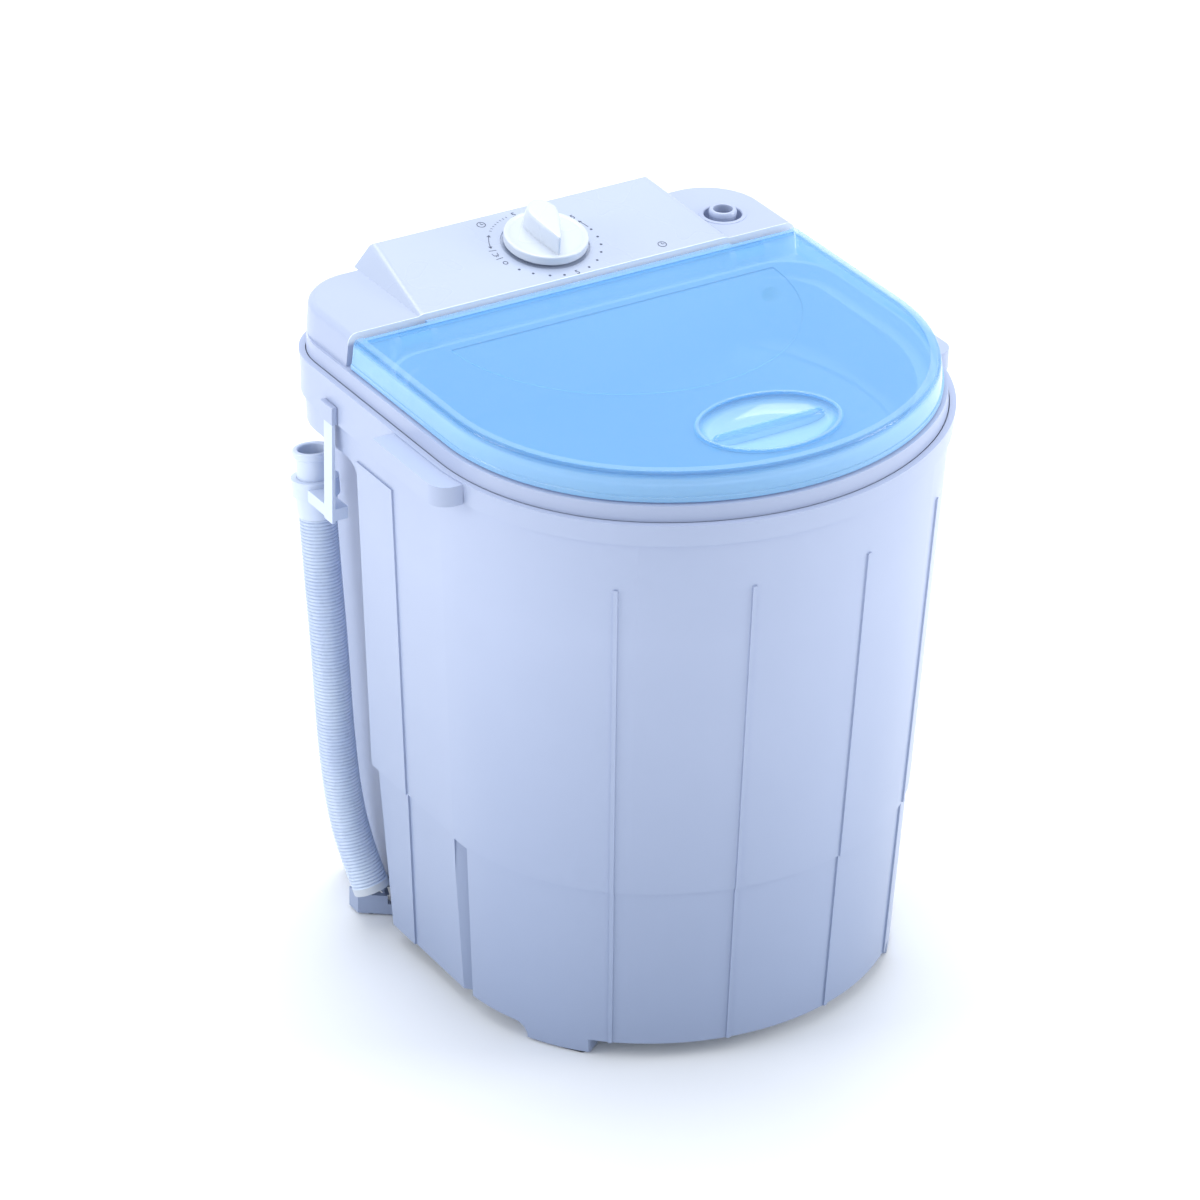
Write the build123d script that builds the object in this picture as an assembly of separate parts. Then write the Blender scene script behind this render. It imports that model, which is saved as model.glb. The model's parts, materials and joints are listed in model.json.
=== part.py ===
from build123d import *
import math
import os

# Small top load washing machine. All sizes are in millimetres.
# Axes while a piece is made: Z up, the drum's axis is X = 0, Y = 0, the front is -Y and Z = 0 is under the feet.
# Every piece is then moved back by row_shift, so that the row's origin is the middle of the footprint.

# ---------------------------------------------------------------- plan outline
rim_half = 170.0          # half the width over the rim of the top frame
front_reach = 164.0       # drum axis to the foremost point of the rim
rear_reach = 190.0        # drum axis to the back
front_radius = rim_half + 15.0     # middle arc of the rounded front
shoulder_radius = rim_half - 20.0  # arcs between the front and the straight sides
rear_corner = 48.0        # corner radius at the back
draft = 0.05              # the walls lean in by this much for each millimetre down
wall = 2.5                # moulded plastic wall

# ---------------------------------------------------------------- heights
foot_h = 11.0             # feet below the skirt
base_h = 112.0            # skirt of the base
rim_z = 369.0             # under side of the rim
ridge_z = 383.0           # widest line of the rim
ledge_z = 393.0           # the lid's skirt comes down to here
deck_z = 414.0            # deck behind the lid
lid_top_z = 412.6
rear_drop = 13.0          # the rim is this much deeper behind the handles
drop_in = 1.0             # that deeper band inside the rim line
seam_z = foot_h + base_h
row_shift = (rear_reach - front_reach) / 2

# ---------------------------------------------------------------- clearances
gap = 0.5                 # between shells that are screwed together
free_gap = 1.0            # between parts that move apart
over = 1.0                # how far a cut runs past what it cuts
run_fit = 0.05            # radial, shaft in bearing

# ---------------------------------------------------------------- body shells
body_inset = 3.0          # cabinet below the rim
base_step = 1.5           # base inside the cabinet's line
lap_h = 8.0               # the base reaches up inside the cabinet by this much
rib_w = 2.6
rib_h = 1.1
rib_top = 32.0            # below the rim
rib_angles = (-43.5, -14.5, 14.5, 43.5)
band_y = (48.0, 90.0)     # raised side band
band_h = 1.2
band_top = 30.0           # below the rim
niche_x = rim_half - 34.0 # wall of the hose niche
niche_y = 90.0            # front edge of the niche in the cabinet
niche_y_seam = 84.0       # front edge in the base, at its top
niche_y_foot = 75.0       # front edge in the base, at its foot
niche_top = 33.0          # below the rim
niche_round = 14.0
notch_y = (-20.0, -6.0)   # finger notch in the base's left side
notch_depth = 14.0
cup_wall = 2.5            # cup under the hose outlet
cup_y = (98.0, 122.0)
cup_x = rim_half - 16.0
cup_cut = (18.0, 13.0)     # slanting corner at its front
cup_pad_size = (18.0, 14.0)
cup_pad_back = 3.0
cup_floor = 5.0
cup_h = 15.0

# ---------------------------------------------------------------- feet and bottom plate
foot_angle = 56.5         # front feet, from the front direction
foot_r = shoulder_radius - 11.0
foot_size = (41.0, 20.0)
foot_corner = 6.0
pad_h = 1.5               # rubber pad at the end of each foot
pad_inset = 3.0
web_r = 9.5               # hollow round web from a front foot up to the skirt
rear_foot = (rim_half - 58.0, 157.0)
rear_foot_size = (34.0, 20.0)
plate_z = 14.0
plate_t = 2.5
plate_gap = 1.0
vent_w = 4.0
vent_len = 46.0
vent_pitch = 10.0
vent_count = 7
vent_y = 96.0
screw_r = 2.0
screw_head_r = 3.8
screw_head_h = 2.4
screw_len = 12.0
boss_r = 4.5
boss_side_y = 30.0
boss_rear_x = 60.0

# ---------------------------------------------------------------- tub
tub_top_r = 142.0
tub_foot_r = 132.0
tub_floor_z = 128.0
tub_rim_z = 349.0
tub_rim_r = 150.0
tub_wall = 2.5
tub_hole_r = 14.0
sump_at = (-100.0, 30.0)
sump_r = 17.0
sump_depth = 9.0
grate_bar = 3.0
grate_t = 2.5

# ---------------------------------------------------------------- top frame
mouth_inset = 24.0        # tub mouth inside the rim
mouth_rear = 88.0
mouth_corner = 34.0
seat_inset = 5.5          # band under the lid's skirt
lip_inset = 13.0          # splash lip inside the lid's skirt
lip_h = 9.0
lip_w = 2.5
deck_inset = 10.0         # deck sides inside the rim
deck_front = 110.0
deck_rear_in = 1.5
frame_t = 3.0
deck_round = 6.0
handle_reach = 14.0       # handles beyond the rim
handle_y = (-36.0, 40.0)
handle_round = 12.0
handle_t = 3.0
timer_slot = (84.0, 56.0)
rear_screw_x = (-90.0, 0.0, 90.0)

# ---------------------------------------------------------------- control panel
panel_foot_half = 111.5
panel_front_half = 110.6
panel_rear_half = 98.8
panel_front_h = 1.0
panel_rear_h = 14.0
panel_rear_y = 189.0
panel_t = 2.5
knob_y = 147.0
knob_r = 26.5
knob_h = 6.0
knob_gap = 1.2
knob_round = 2.5
grip_tip_w = 5.0          # the grip points with its narrow end
grip_rear_w = 25.0
grip_h = 12.0
grip_lean = 2.0
grip_shoulder = 0.45      # share of the reach where the grip is widest
grip_back = (0.6, 0.8)    # share of the width and of the reach at its rear end
dial_hole_r = 9.0
dial_rest = -11.0         # where the grip points at rest, from the front direction
shaft_r = 3.0
timer_size = (58.0, 48.0, 34.0)
timer_ear_t = 2.0

# ---------------------------------------------------------------- water inlet
inlet_at = (127.0, 141.0)
inlet_cup_r = 14.0
inlet_cup_h = 9.0
spigot_r = 8.5
spigot_bore = 6.0
spigot_h = 13.0
duct_r = 7.0
duct_wall = 1.5
cup_side = 2.0            # wall of the cup in the deck

# ---------------------------------------------------------------- lid
lid_skirt_in = 3.5        # the top plate is this much smaller than the skirt's foot
lid_t = 2.5
lid_rear = 104.8
lid_tongue = 2.2          # middle of the rear edge stands back
lid_tongue_half = 109.0
lid_round = 2.0
lid_corner = 2.0
lid_side_in = 8.0         # skirt's foot inside the rim line
hinge_y = 101.0
hinge_z = 406.0
pin_r = 1.5
pin_fit = 0.08
knuckle_r = 4.0
knuckle_x = 120.0
knuckle_len = 20.0
lug_t = 4.0
lug_gap = 0.6
pull_at = (0.0, -104.0)
pull_size = (93.0, 70.0)
pull_depth = 8.0
pull_fin = 7.0

# ---------------------------------------------------------------- drive
shaft_d = 12.0
shaft_foot_z = 19.0
shaft_top_z = 152.0
housing_r = 22.0
housing_flange_r = 44.0
housing_flange_t = 5.0
housing_screw_angles = (0, 60, 120, 180, 240, 300)
housing_z = 42.0
bearing_r = 15.0
bearing_w = 10.0
bearing_stop = 2.0        # lip that holds each bearing
bearing_z = (46.0, 104.0)
pulley_z = 25.0
pulley_w = 11.0
pulley_r = 70.0
pulley_pitch = 66.0
small_pulley_r = 17.2
small_pitch = 13.2
groove_w = 7.0
lightening_share = 0.55   # where the large pulley's holes stand on its radius
lightening_count = 6
belt_t = 3.2
belt_fit = 0.4
motor_y = 98.0
motor_r = 42.0
motor_z = (50.0, 112.0)
motor_shaft_r = 4.0
motor_round = 5.0
motor_case_t = 5.0
motor_end_t = 6.0
motor_band = (16.0, 2.0)  # in from each end, and proud of the case
rotor_in = (10.0, 16.0)   # in from the case's ends and side
stator_in = (12.0, 15.0)
fan_r = 27.0
fan_z = 39.0
fan_t = 7.0
fan_blades = 8
fan_disc_t = 1.5
blade_t = 2.0
bracket_t = 3.0
bracket_arm = 62.0
grommet_r = 6.0
grommet_h = 6.0
pulsator_r = 96.0
pulsator_z = 137.0
pulsator_t = 5.0
pulsator_dome = 30.0
pulsator_flank = [(0.6, 0.13), (0.3, 0.6)]   # shares of its radius and of its dome's height
hub_wall = 3.0
seat_step = 4.0           # the shaft ends this far below the cap's seat
fin_shape = [(0.8, 0.57), (0.4, 0.9)]        # shares of its radius and of its dome's height
fin_count = 4
fin_w = 13.0
fin_in = 2.0
cap_r = 13.0
cap_h = 5.0
cap_round = 1.5
capacitor_r = 14.0
capacitor_len = 48.0
capacitor_at = (92.0, 92.0, 58.0)
capacitor_round = 2.0
strip_t = 2.0             # sheet of the capacitor's clip
strip_w = 12.0
block_size = (36.0, 16.0, 14.0)
block_at = (40.0, 60.0)
block_hole_r = 2.2
block_pitch = 10.6
gland_at = (90.0, 30.0)   # x and height of the mains lead's inlet, on the back
gland_r = 9.0
gland_bore = 3.6
gland_steps = (3.0, 9.0)  # flange and nose, out from the wall
nose_wall = 2.0

# ---------------------------------------------------------------- drain hose
hose_r = 12.0
hose_out = niche_x + hose_r        # the hose would touch the niche's wall here
hose_route = [(-hose_out - 1.5, 104.0, 27.0), (-hose_out - 6.5, 114.0, 51.0), (-hose_out - 10.5, 122.5, 86.0),
              (-hose_out - 12.0, 129.5, 134.0), (-hose_out - 12.0, 136.0, 189.0),
              (-hose_out - 12.0, 144.5, 238.0), (-hose_out - 12.0, 149.5, 273.0)]
arc_share = 0.45
elbow_r = 9.0
elbow_drop = 9.5          # from the hose's end down to the elbow's knee
pipe_r = 9.0
cuff_neck_r = 11.0
cuff_lip_r = 13.0
cuff_len = 44.0
cuff_sleeve = 14.0
cuff_lip_h = 5.0
cuff_stop = 3.0           # solid floor between hose and cuff
cuff_wall = 2.0
collar_r = 15.0
collar_h = 11.0
strap_y = 116.0
strap_w = 10.0
strap_t = 2.2
strap_top = 362.0
strap_in = 1.0            # inside the rim line
arm_half = 4.0
hook_size = (4.0, 15.0, 12.0)


# ---------------------------------------------------------------- outline helpers
def d_face(inset, z, rear_in=None, rear_y=None, corner=None):
    """D outline at a height, moved in from the rim line: three front arcs, straight sides, rounded back."""
    half = rim_half - inset
    fy = front_radius - front_reach
    sx = rim_half - shoulder_radius
    sy = fy - math.sqrt((front_radius - shoulder_radius) ** 2 - sx ** 2)
    rf = front_radius - inset
    rs = shoulder_radius - inset
    span = front_radius - shoulder_radius
    tx = rf * sx / span
    ty = fy + rf * (sy - fy) / span
    turn = math.atan2(ty - sy, tx - sx) / 2
    mx = sx + rs * math.cos(turn)
    my = sy + rs * math.sin(turn)
    back = rear_y if rear_y is not None else rear_reach - (inset if rear_in is None else rear_in)
    rc = corner if corner is not None else rear_corner - inset
    cd = rc * (1 - math.sqrt(0.5))
    edges = [
        Line((half, sy), (half, back - rc)),
        ThreePointArc((half, back - rc), (half - cd, back - cd), (half - rc, back)),
        Line((half - rc, back), (rc - half, back)),
        ThreePointArc((rc - half, back), (cd - half, back - cd), (-half, back - rc)),
        Line((-half, back - rc), (-half, sy)),
        ThreePointArc((-half, sy), (-mx, my), (-tx, ty)),
        ThreePointArc((-tx, ty), (0, fy - rf), (tx, ty)),
        ThreePointArc((tx, ty), (mx, my), (half, sy)),
    ]
    return Pos(0, 0, z) * make_face(edges)


def d_block(inset0, z0, inset1, z1, **rear):
    """Solid between two D outlines."""
    return loft([d_face(inset0, z0, **rear), d_face(inset1, z1, **rear)], ruled=True)


def body_in(z):
    """How far the cabinet's outer wall stands inside the rim line at a height."""
    return body_inset + draft * (rim_z - z)


def body_block(z0, z1, extra=0.0):
    """Solid of the leaning body between two heights, moved in by extra."""
    return d_block(body_in(z0) + extra, z0, body_in(z1) + extra, z1)


def box_between(x0, x1, y0, y1, z0, z1):
    return Pos((x0 + x1) / 2, (y0 + y1) / 2, (z0 + z1) / 2) * Box(x1 - x0, y1 - y0, z1 - z0)


def rod(x, y, z0, z1, r):
    return Pos(x, y, (z0 + z1) / 2) * Cylinder(r, z1 - z0)


def ring(x, y, z0, z1, r, bore):
    return rod(x, y, z0, z1, r) - rod(x, y, z0 - over, z1 + over, bore)


def rod_x(x0, x1, y, z, r):
    return Pos((x0 + x1) / 2, y, z) * Rot(0, 90, 0) * Cylinder(r, x1 - x0)


def rod_y(x, y0, y1, z, r):
    return Pos(x, (y0 + y1) / 2, z) * Rot(90, 0, 0) * Cylinder(r, y1 - y0)


def turned(points):
    """Solid of revolution about the drum's axis from (radius, height) points."""
    return revolve(Plane.XZ * make_face(Polyline(*points, close=True)), Axis.Z)


def screw(x, y, z, length=screw_len):
    """Pan head screw, head down at z."""
    return rod(x, y, z - screw_head_h, z, screw_head_r) + rod(x, y, z, z + length, screw_r)


def fused(shapes):
    whole = shapes[0]
    for piece in shapes[1:]:
        whole = whole + piece
    return whole


# ---------------------------------------------------------------- shells
def niche(z0, z1, y0, y1, grow=0.0):
    """Space of the hose niche at the left rear: front edge at y0 below and y1 above."""
    side = Plane.YZ * make_face(Polyline(
        (y0 - grow, z0), (y1 - grow, z1), (rear_reach + wall, z1), (rear_reach + wall, z0), close=True))
    return Pos(-rim_half - wall, 0, 0) * extrude(side, rim_half + wall - niche_x + grow)


def cabinet_niche(grow=0.0):
    top = rim_z - niche_top + grow
    space = niche(seam_z - lap_h - over, top, niche_y, niche_y, grow)
    roof = space.edges().filter_by(Axis.X).group_by(Axis.Z)[-1].sort_by(Axis.Y)[0]
    return fillet(roof, niche_round + grow)


def base_niche(grow=0.0):
    lean = (niche_y_seam - niche_y_foot) / base_h
    low = foot_h - over
    high = seam_z + lap_h + over
    return niche(low, high, niche_y_foot - lean, niche_y_seam + lean * (lap_h + over), grow)


def notch(grow=0.0):
    """Finger notch: a wedge in plan, deepest at its front side."""
    y0 = notch_y[0] - grow
    y1 = notch_y[1] + grow
    outer = -rim_half
    face = -(rim_half - body_in(foot_h)) - wall
    deep = -(rim_half - body_in(seam_z)) + notch_depth + grow
    plan = make_face(Polyline((outer, y0), (deep, y0), (deep, y0 + wall), (face, y1), (outer, y1), close=True))
    return Pos(0, 0, foot_h - over) * extrude(plan, base_h - wall + grow)


def ribs(z0, z1, skin):
    """Upright ribs on the rounded front, proud of the wall."""
    proud = body_block(z0, z1, skin - rib_h) - body_block(z0 - over, z1 + over, skin + wall / 2)
    slabs = [Rot(0, 0, angle) * box_between(-rib_w / 2, rib_w / 2, -2 * rim_half, 0, z0, z1)
             for angle in rib_angles]
    return [proud & slab for slab in slabs]


def side_bands(z0, z1, skin, y0, y1):
    proud = body_block(z0, z1, skin - band_h) - body_block(z0 - over, z1 + over, skin + wall / 2)
    return [proud & box_between(side, side + rim_half, y0, y1, z0, z1) for side in (-rim_half, 0)]


def rear_screws(z, y, head_h):
    """Screws that come in through the back wall at a height."""
    heads = [rod_y(x, y, y + head_h, z, screw_head_r) for x in rear_screw_x]
    shanks = [rod_y(x, y - screw_len, y, z, screw_r) for x in rear_screw_x]
    return Compound([head + shank for head, shank in zip(heads, shanks)])


def rear_holes(z, r):
    return fused([rod_y(x, rear_reach - rear_corner, rear_reach + wall, z, r) for x in rear_screw_x])


def cabinet_screws():
    z = seam_z + lap_h / 2
    return rear_screws(z, rear_reach - body_in(z + screw_head_r), screw_head_h)


def outer_cabinet():
    shell = body_block(seam_z, rim_z) - cabinet_niche()
    inner = body_block(seam_z - over, rim_z + over, wall) - cabinet_niche(wall)
    ribs_up = ribs(seam_z, rim_z - rib_top, 0.0)
    bands = side_bands(seam_z, rim_z - band_top, 0.0, *band_y)
    body = fused([shell] + ribs_up + [band - cabinet_niche() for band in bands]) - inner
    return body - rear_holes(seam_z + lap_h / 2, screw_r) - rear_holes(rim_z - rear_drop / 2, screw_r)


def gland_spot():
    """Where the back wall of the base stands at the top of the mains lead's inlet."""
    return rear_reach - body_in(gland_at[1] + gland_r) - base_step


def foot_block(size, z0, z1, shrink=0.0):
    size_x = size[0] - 2 * shrink
    size_y = size[1] - 2 * shrink
    return extrude(RectangleRounded(size_x, size_y, foot_corner - shrink), z1 - z0)


def front_spot(angle, z):
    return Rot(0, 0, angle) * Pos(0, -foot_r, z)


def feet(z0, z1, shrink=0.0):
    """Two feet under the shoulders of the front, one at the right rear."""
    front = [front_spot(angle, z0) * foot_block(foot_size, z0, z1, shrink) for angle in (-foot_angle, foot_angle)]
    return front + [Pos(rear_foot[0], rear_foot[1], z0) * foot_block(rear_foot_size, z0, z1, shrink)]


def foot_webs():
    """Hollow round web behind each front foot."""
    start = foot_size[0] / 2 - foot_corner
    end = foot_size[0] / 2 + web_r
    webs = []
    for side in (-1, 1):
        block = box_between(start, end, -foot_size[1] / 2, foot_size[1] / 2, foot_h - web_r, foot_h + wall)
        block = block - rod_y(end, -foot_size[1], foot_size[1], foot_h - web_r, web_r)
        web = block if side > 0 else mirror(block, Plane.YZ)
        webs.append(front_spot(side * foot_angle, 0) * web)
    return webs


def cup_spot(z):
    return Pos(-(niche_x - wall + cup_x) / 2, sum(cup_y) / 2 + cup_pad_back, z) * Rot(0, 0, 90)


def cup_block(shrink, x1, z0, z1):
    x0 = shrink - cup_x
    y0 = cup_y[0] + shrink
    y1 = cup_y[1] - shrink
    plan = Polyline((x1, y0), (x0 + cup_cut[0], y0), (x0, y0 + cup_cut[1]), (x0, y1), (x1, y1), close=True)
    return Pos(0, 0, z0) * extrude(make_face(plan), z1 - z0)


def hose_cup():
    """Open cup under the drain outlet, which is the left rear foot too."""
    x1 = -niche_x + wall
    block = cup_block(0, x1, pad_h, cup_h)
    return block - cup_block(cup_wall, x1 + wall, cup_floor + pad_h, cup_h + over)


def boss_spots():
    """Screw bosses against the inside of the base's skirt."""
    skin = body_in(plate_z) + base_step + wall + boss_r - gap
    side = rim_half - skin
    rear = rear_reach - skin
    front = skin - front_reach
    return [(-side, boss_side_y), (side, boss_side_y), (-boss_rear_x, rear), (boss_rear_x, rear), (0, front)]


def base_skirt():
    skin = base_step
    shell = body_block(foot_h, seam_z, skin) - base_niche() - notch()
    inner = body_block(foot_h - over, seam_z + over, skin + wall) - base_niche(wall) - notch(wall)
    bands = [band - base_niche() for band in side_bands(foot_h, seam_z, skin, *band_y)]
    body = fused([shell] + ribs(foot_h, seam_z, skin) + bands) - inner
    lap_out = body_block(seam_z - wall, seam_z + lap_h, wall + gap) - base_niche(wall + gap)
    lap_in = body_block(seam_z - wall - over, seam_z + lap_h + over, 2 * wall + gap) - base_niche(2 * wall + gap)
    standing = feet(pad_h, foot_h + wall) + foot_webs()
    floor = [foot & body_block(pad_h, foot_h + wall, skin) for foot in standing]
    within = body_block(foot_h, seam_z, skin)
    posts = [rod(x, y, plate_z + plate_t, plate_z + plate_t + 2 * screw_len, boss_r) & within
             for x, y in boss_spots()]
    body = fused([body, lap_out - lap_in] + floor + posts + [hose_cup()])
    for x, y in boss_spots():
        body = body - rod(x, y, plate_z, plate_z + plate_t + screw_len, screw_r)
    body = body - rear_holes(seam_z + lap_h / 2, screw_r)
    body = body - rod_y(gland_at[0], gland_spot() - 4 * wall, rear_reach, gland_at[1], gland_r - 2 * cup_wall)
    knee = elbow_knee()
    return body - rod_x(-niche_x - wall, -niche_x + 2 * wall, knee.Y, knee.Z, elbow_r + gap)


def rubber_feet():
    pads = feet(0, pad_h, pad_inset) + [cup_spot(0) * foot_block(cup_pad_size, 0, pad_h, pad_inset)]
    return Compound(pads)


def bottom_plate():
    skin = base_step + wall + plate_gap
    plate = body_block(plate_z, plate_z + plate_t, skin) - base_niche(wall + plate_gap) - notch(wall + plate_gap)
    for i in range(vent_count):
        x = (i - (vent_count - 1) / 2) * vent_pitch
        plate = plate - box_between(x - vent_w / 2, x + vent_w / 2, vent_y - vent_len / 2, vent_y + vent_len / 2,
                                    plate_z - over, plate_z + plate_t + over)
    for x, y in boss_spots():
        plate = plate - rod(x, y, plate_z - over, plate_z + plate_t + over, screw_r)
    knee = elbow_knee()
    side = elbow_r + plate_gap
    room = box_between(-niche_x, sump_at[0] + side, sump_at[1], knee.Y + side, plate_z - over, plate_z + plate_t + over)
    return plate - fused(feet(pad_h, plate_z + plate_t + over, -plate_gap)) - room


def plate_screws():
    return Compound([screw(x, y, plate_z) for x, y in boss_spots()])


# ---------------------------------------------------------------- top frame
def mouth(z0, z1, grow=0.0):
    """Tub mouth: rounded at the front, straight at the back."""
    inset = mouth_inset - grow
    return d_block(inset, z0, inset, z1, rear_y=mouth_rear + grow, corner=mouth_corner + grow)


def behind(y):
    return box_between(-rim_half, rim_half, y, rear_reach + wall, rim_z - 2 * rear_drop, deck_z + rear_drop)


def handle(side):
    """Grip ledge on one side: open below for the fingers, with a rounded front end."""
    z0 = rim_z
    y0, y1 = handle_y
    reach = rim_half + handle_reach
    root = rim_half - frame_t
    block = box_between(root, reach, y0, y1, z0, ridge_z - over)
    block = fillet(block.edges().filter_by(Axis.Z).group_by(Axis.X)[-1].group_by(Axis.Y)[0], handle_round)
    room = box_between(rim_half + handle_t, reach - handle_t, y0 + handle_round, y1 - handle_t,
                       z0 - over, ridge_z - over - handle_t)
    grip = block - room
    return grip if side > 0 else mirror(grip, Plane.YZ)


def deck_shell():
    """Deck behind the lid, hollow below."""
    block = d_block(deck_inset - frame_t, ridge_z, deck_inset, deck_z, rear_in=deck_rear_in)
    block = fillet(block.edges().group_by(Axis.Z)[-1], deck_round)
    skin = deck_inset + frame_t
    room = d_block(deck_inset, ridge_z - over, skin, deck_z - frame_t, rear_in=deck_rear_in + frame_t)
    room = room & behind(deck_front + frame_t)
    return (block & behind(deck_front)) - room


def top_frame():
    band = d_block(drop_in, rim_z, 0, ridge_z)
    seat = d_block(seat_inset - drop_in, ridge_z, seat_inset, ledge_z)
    drop = d_block(drop_in, rim_z - rear_drop, drop_in, rim_z) & behind(handle_y[1])
    drop = drop - body_block(rim_z - rear_drop - over, rim_z, -gap)
    low_in = drop_in + 2 * frame_t
    low_room = d_block(low_in, rim_z - over, low_in, rim_z + frame_t)
    mid_in = frame_t + drop_in
    mid_room = d_block(mid_in, rim_z + frame_t, mid_in, ridge_z)
    top_room = d_block(seat_inset + frame_t, ridge_z, seat_inset + frame_t, ledge_z - frame_t)
    rear_room = d_block(deck_inset, ridge_z, deck_inset, ledge_z + over, rear_in=deck_rear_in + frame_t)
    rear_room = rear_room & behind(deck_front + frame_t)
    shell = fused([band, seat]) - fused([low_room, mid_room, top_room, rear_room])
    shell = fused([shell, drop, deck_shell() - top_room - mid_room])
    funnel = mouth(tub_rim_z, ledge_z, frame_t)
    apron = rod(0, 0, tub_rim_z, tub_rim_z + frame_t, tub_rim_r)
    lip = d_block(lip_inset, ledge_z, lip_inset, ledge_z + lip_h, rear_y=mouth_rear + frame_t, corner=mouth_corner)
    inside = lip_inset + lip_w
    lip = lip - d_block(inside, ledge_z - over, inside, ledge_z + lip_h + over,
                        rear_y=mouth_rear + frame_t - lip_w, corner=mouth_corner)
    body = fused([shell, funnel, apron, lip, handle(1), handle(-1)]) - mouth(tub_rim_z - over, deck_z)
    ledge = mouth(tub_rim_z, tub_rim_z + frame_t, frame_t) - rod(0, 0, 0, deck_z, tub_top_r - tub_wall)
    body = body + ledge
    slot_x, slot_y = timer_slot
    body = body - box_between(-slot_x / 2, slot_x / 2, knob_y - slot_y / 2, knob_y + slot_y / 2, ledge_z, deck_z + over)
    body = body - rod(*inlet_at, ledge_z, deck_z + over, inlet_cup_r + gap)
    body = body - rod_y(inlet_at[0], mouth_rear - 2 * duct_r, deck_front, duct_z(), duct_r)
    return body - rear_holes(rim_z - rear_drop / 2, screw_r)


def hinge_lugs():
    """Lugs that stand on the ledge, one each side of each lid knuckle."""
    r = knuckle_r - gap
    lugs = []
    for side in (-1, 1):
        for edge in (-1, 1):
            near = side * knuckle_x + edge * (knuckle_len / 2 + lug_gap)
            far = near + edge * lug_t
            lug = rod_x(min(near, far), max(near, far), hinge_y, hinge_z, r)
            lug = lug + box_between(min(near, far), max(near, far), hinge_y - r, hinge_y + r, ledge_z, hinge_z)
            lugs.append(lug - rod_x(min(near, far) - over, max(near, far) + over, hinge_y, hinge_z, pin_r))
    return Compound(lugs)


def hinge_pins():
    half = knuckle_len / 2 + lug_gap + lug_t
    return Compound([rod_x(x - half, x + half, hinge_y, hinge_z, pin_r) for x in (-knuckle_x, knuckle_x)])


# ---------------------------------------------------------------- lid
def lid_shell():
    top_in = lid_side_in + lid_skirt_in
    low = ledge_z + free_gap
    shell = d_block(lid_side_in, low, top_in, lid_top_z, rear_y=lid_rear, corner=lid_corner)
    shell = fillet(shell.edges().group_by(Axis.Z)[-1], lid_round)
    under = lid_top_z - lid_t
    room = d_block(lid_side_in + lid_t, low - over, top_in + lid_t, under, rear_y=lid_rear + 2 * lid_t,
                   corner=lid_corner / 2)
    tongue = box_between(-lid_tongue_half, lid_tongue_half, hinge_y, lid_rear + lid_tongue, under, lid_top_z)
    tongue = fillet(tongue.edges().filter_by(Axis.X).group_by(Axis.Y)[-1], lid_t / 3)
    lid = (shell - room) + tongue
    for x in (-knuckle_x, knuckle_x):
        web = box_between(x - knuckle_len / 2, x + knuckle_len / 2, hinge_y - pin_r * 2, hinge_y + pin_r * 2,
                          hinge_z, under + lid_t / 2)
        lid = fused([lid, web, rod_x(x - knuckle_len / 2, x + knuckle_len / 2, hinge_y, hinge_z, knuckle_r)])
        half = knuckle_len / 2 + over
        lid = lid - rod_x(x - half, x + half, hinge_y, hinge_z, pin_r + pin_fit)
    return lid - pull_well(0, under - over, lid_top_z + over) + lid_pull()


def pull_well(shrink, z0, z1):
    a = pull_size[0] / 2 - shrink
    b = pull_size[1] / 2 - shrink
    return Pos(pull_at[0], pull_at[1], z0) * extrude(Ellipse(a, b), z1 - z0)


def lid_pull():
    """Oval dish sunk into the lid, with a fin to pinch."""
    floor_z = lid_top_z - pull_depth
    dish = pull_well(0, floor_z - lid_t, lid_top_z) - pull_well(lid_t, floor_z, lid_top_z + over)
    fin = box_between(-pull_size[0] / 2 + lid_t, pull_size[0] / 2 - lid_t, pull_at[1] - lid_t, pull_at[1] + lid_t,
                      floor_z - lid_t, floor_z + pull_fin)
    return dish + fin


# ---------------------------------------------------------------- control panel
def panel_top(y):
    """Height of the sloping panel over a point of the deck."""
    share = (y - deck_front) / (panel_rear_y - deck_front)
    return deck_z + panel_front_h + (panel_rear_h - panel_front_h) * share


def dial_spot():
    """Location on the panel at the knob, with Z square to the panel."""
    slope = math.atan2(panel_rear_h - panel_front_h, panel_rear_y - deck_front)
    return Pos(0, knob_y, panel_top(knob_y)) * Rot(math.degrees(slope), 0, 0)


def wedge(shrink, z0):
    front = panel_front_half - shrink
    rear = panel_rear_half - shrink
    y0 = deck_front + shrink
    y1 = panel_rear_y - shrink
    foot_half = panel_foot_half - shrink
    foot = Polyline((-foot_half, y0, z0), (foot_half, y0, z0), (foot_half, y1, z0), (-foot_half, y1, z0), close=True)
    h0 = panel_top(y0) - shrink
    h1 = panel_top(y1) - shrink
    top = Polyline((-front, y0, h0), (front, y0, h0), (rear, y1, h1), (-rear, y1, h1), close=True)
    return loft([make_face(foot), make_face(top)], ruled=True)


def control_panel():
    cover = wedge(0, deck_z)
    room = wedge(panel_t, deck_z - 2 * panel_t) - box_between(-rim_half, rim_half, 0, rear_reach, 0, deck_z - over)
    room = room & box_between(-panel_rear_half, panel_rear_half, deck_front + rear_drop, rear_reach, 0, 2 * deck_z)
    return cover - room - dial_spot() * Cylinder(dial_hole_r, 4 * panel_t)


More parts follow.
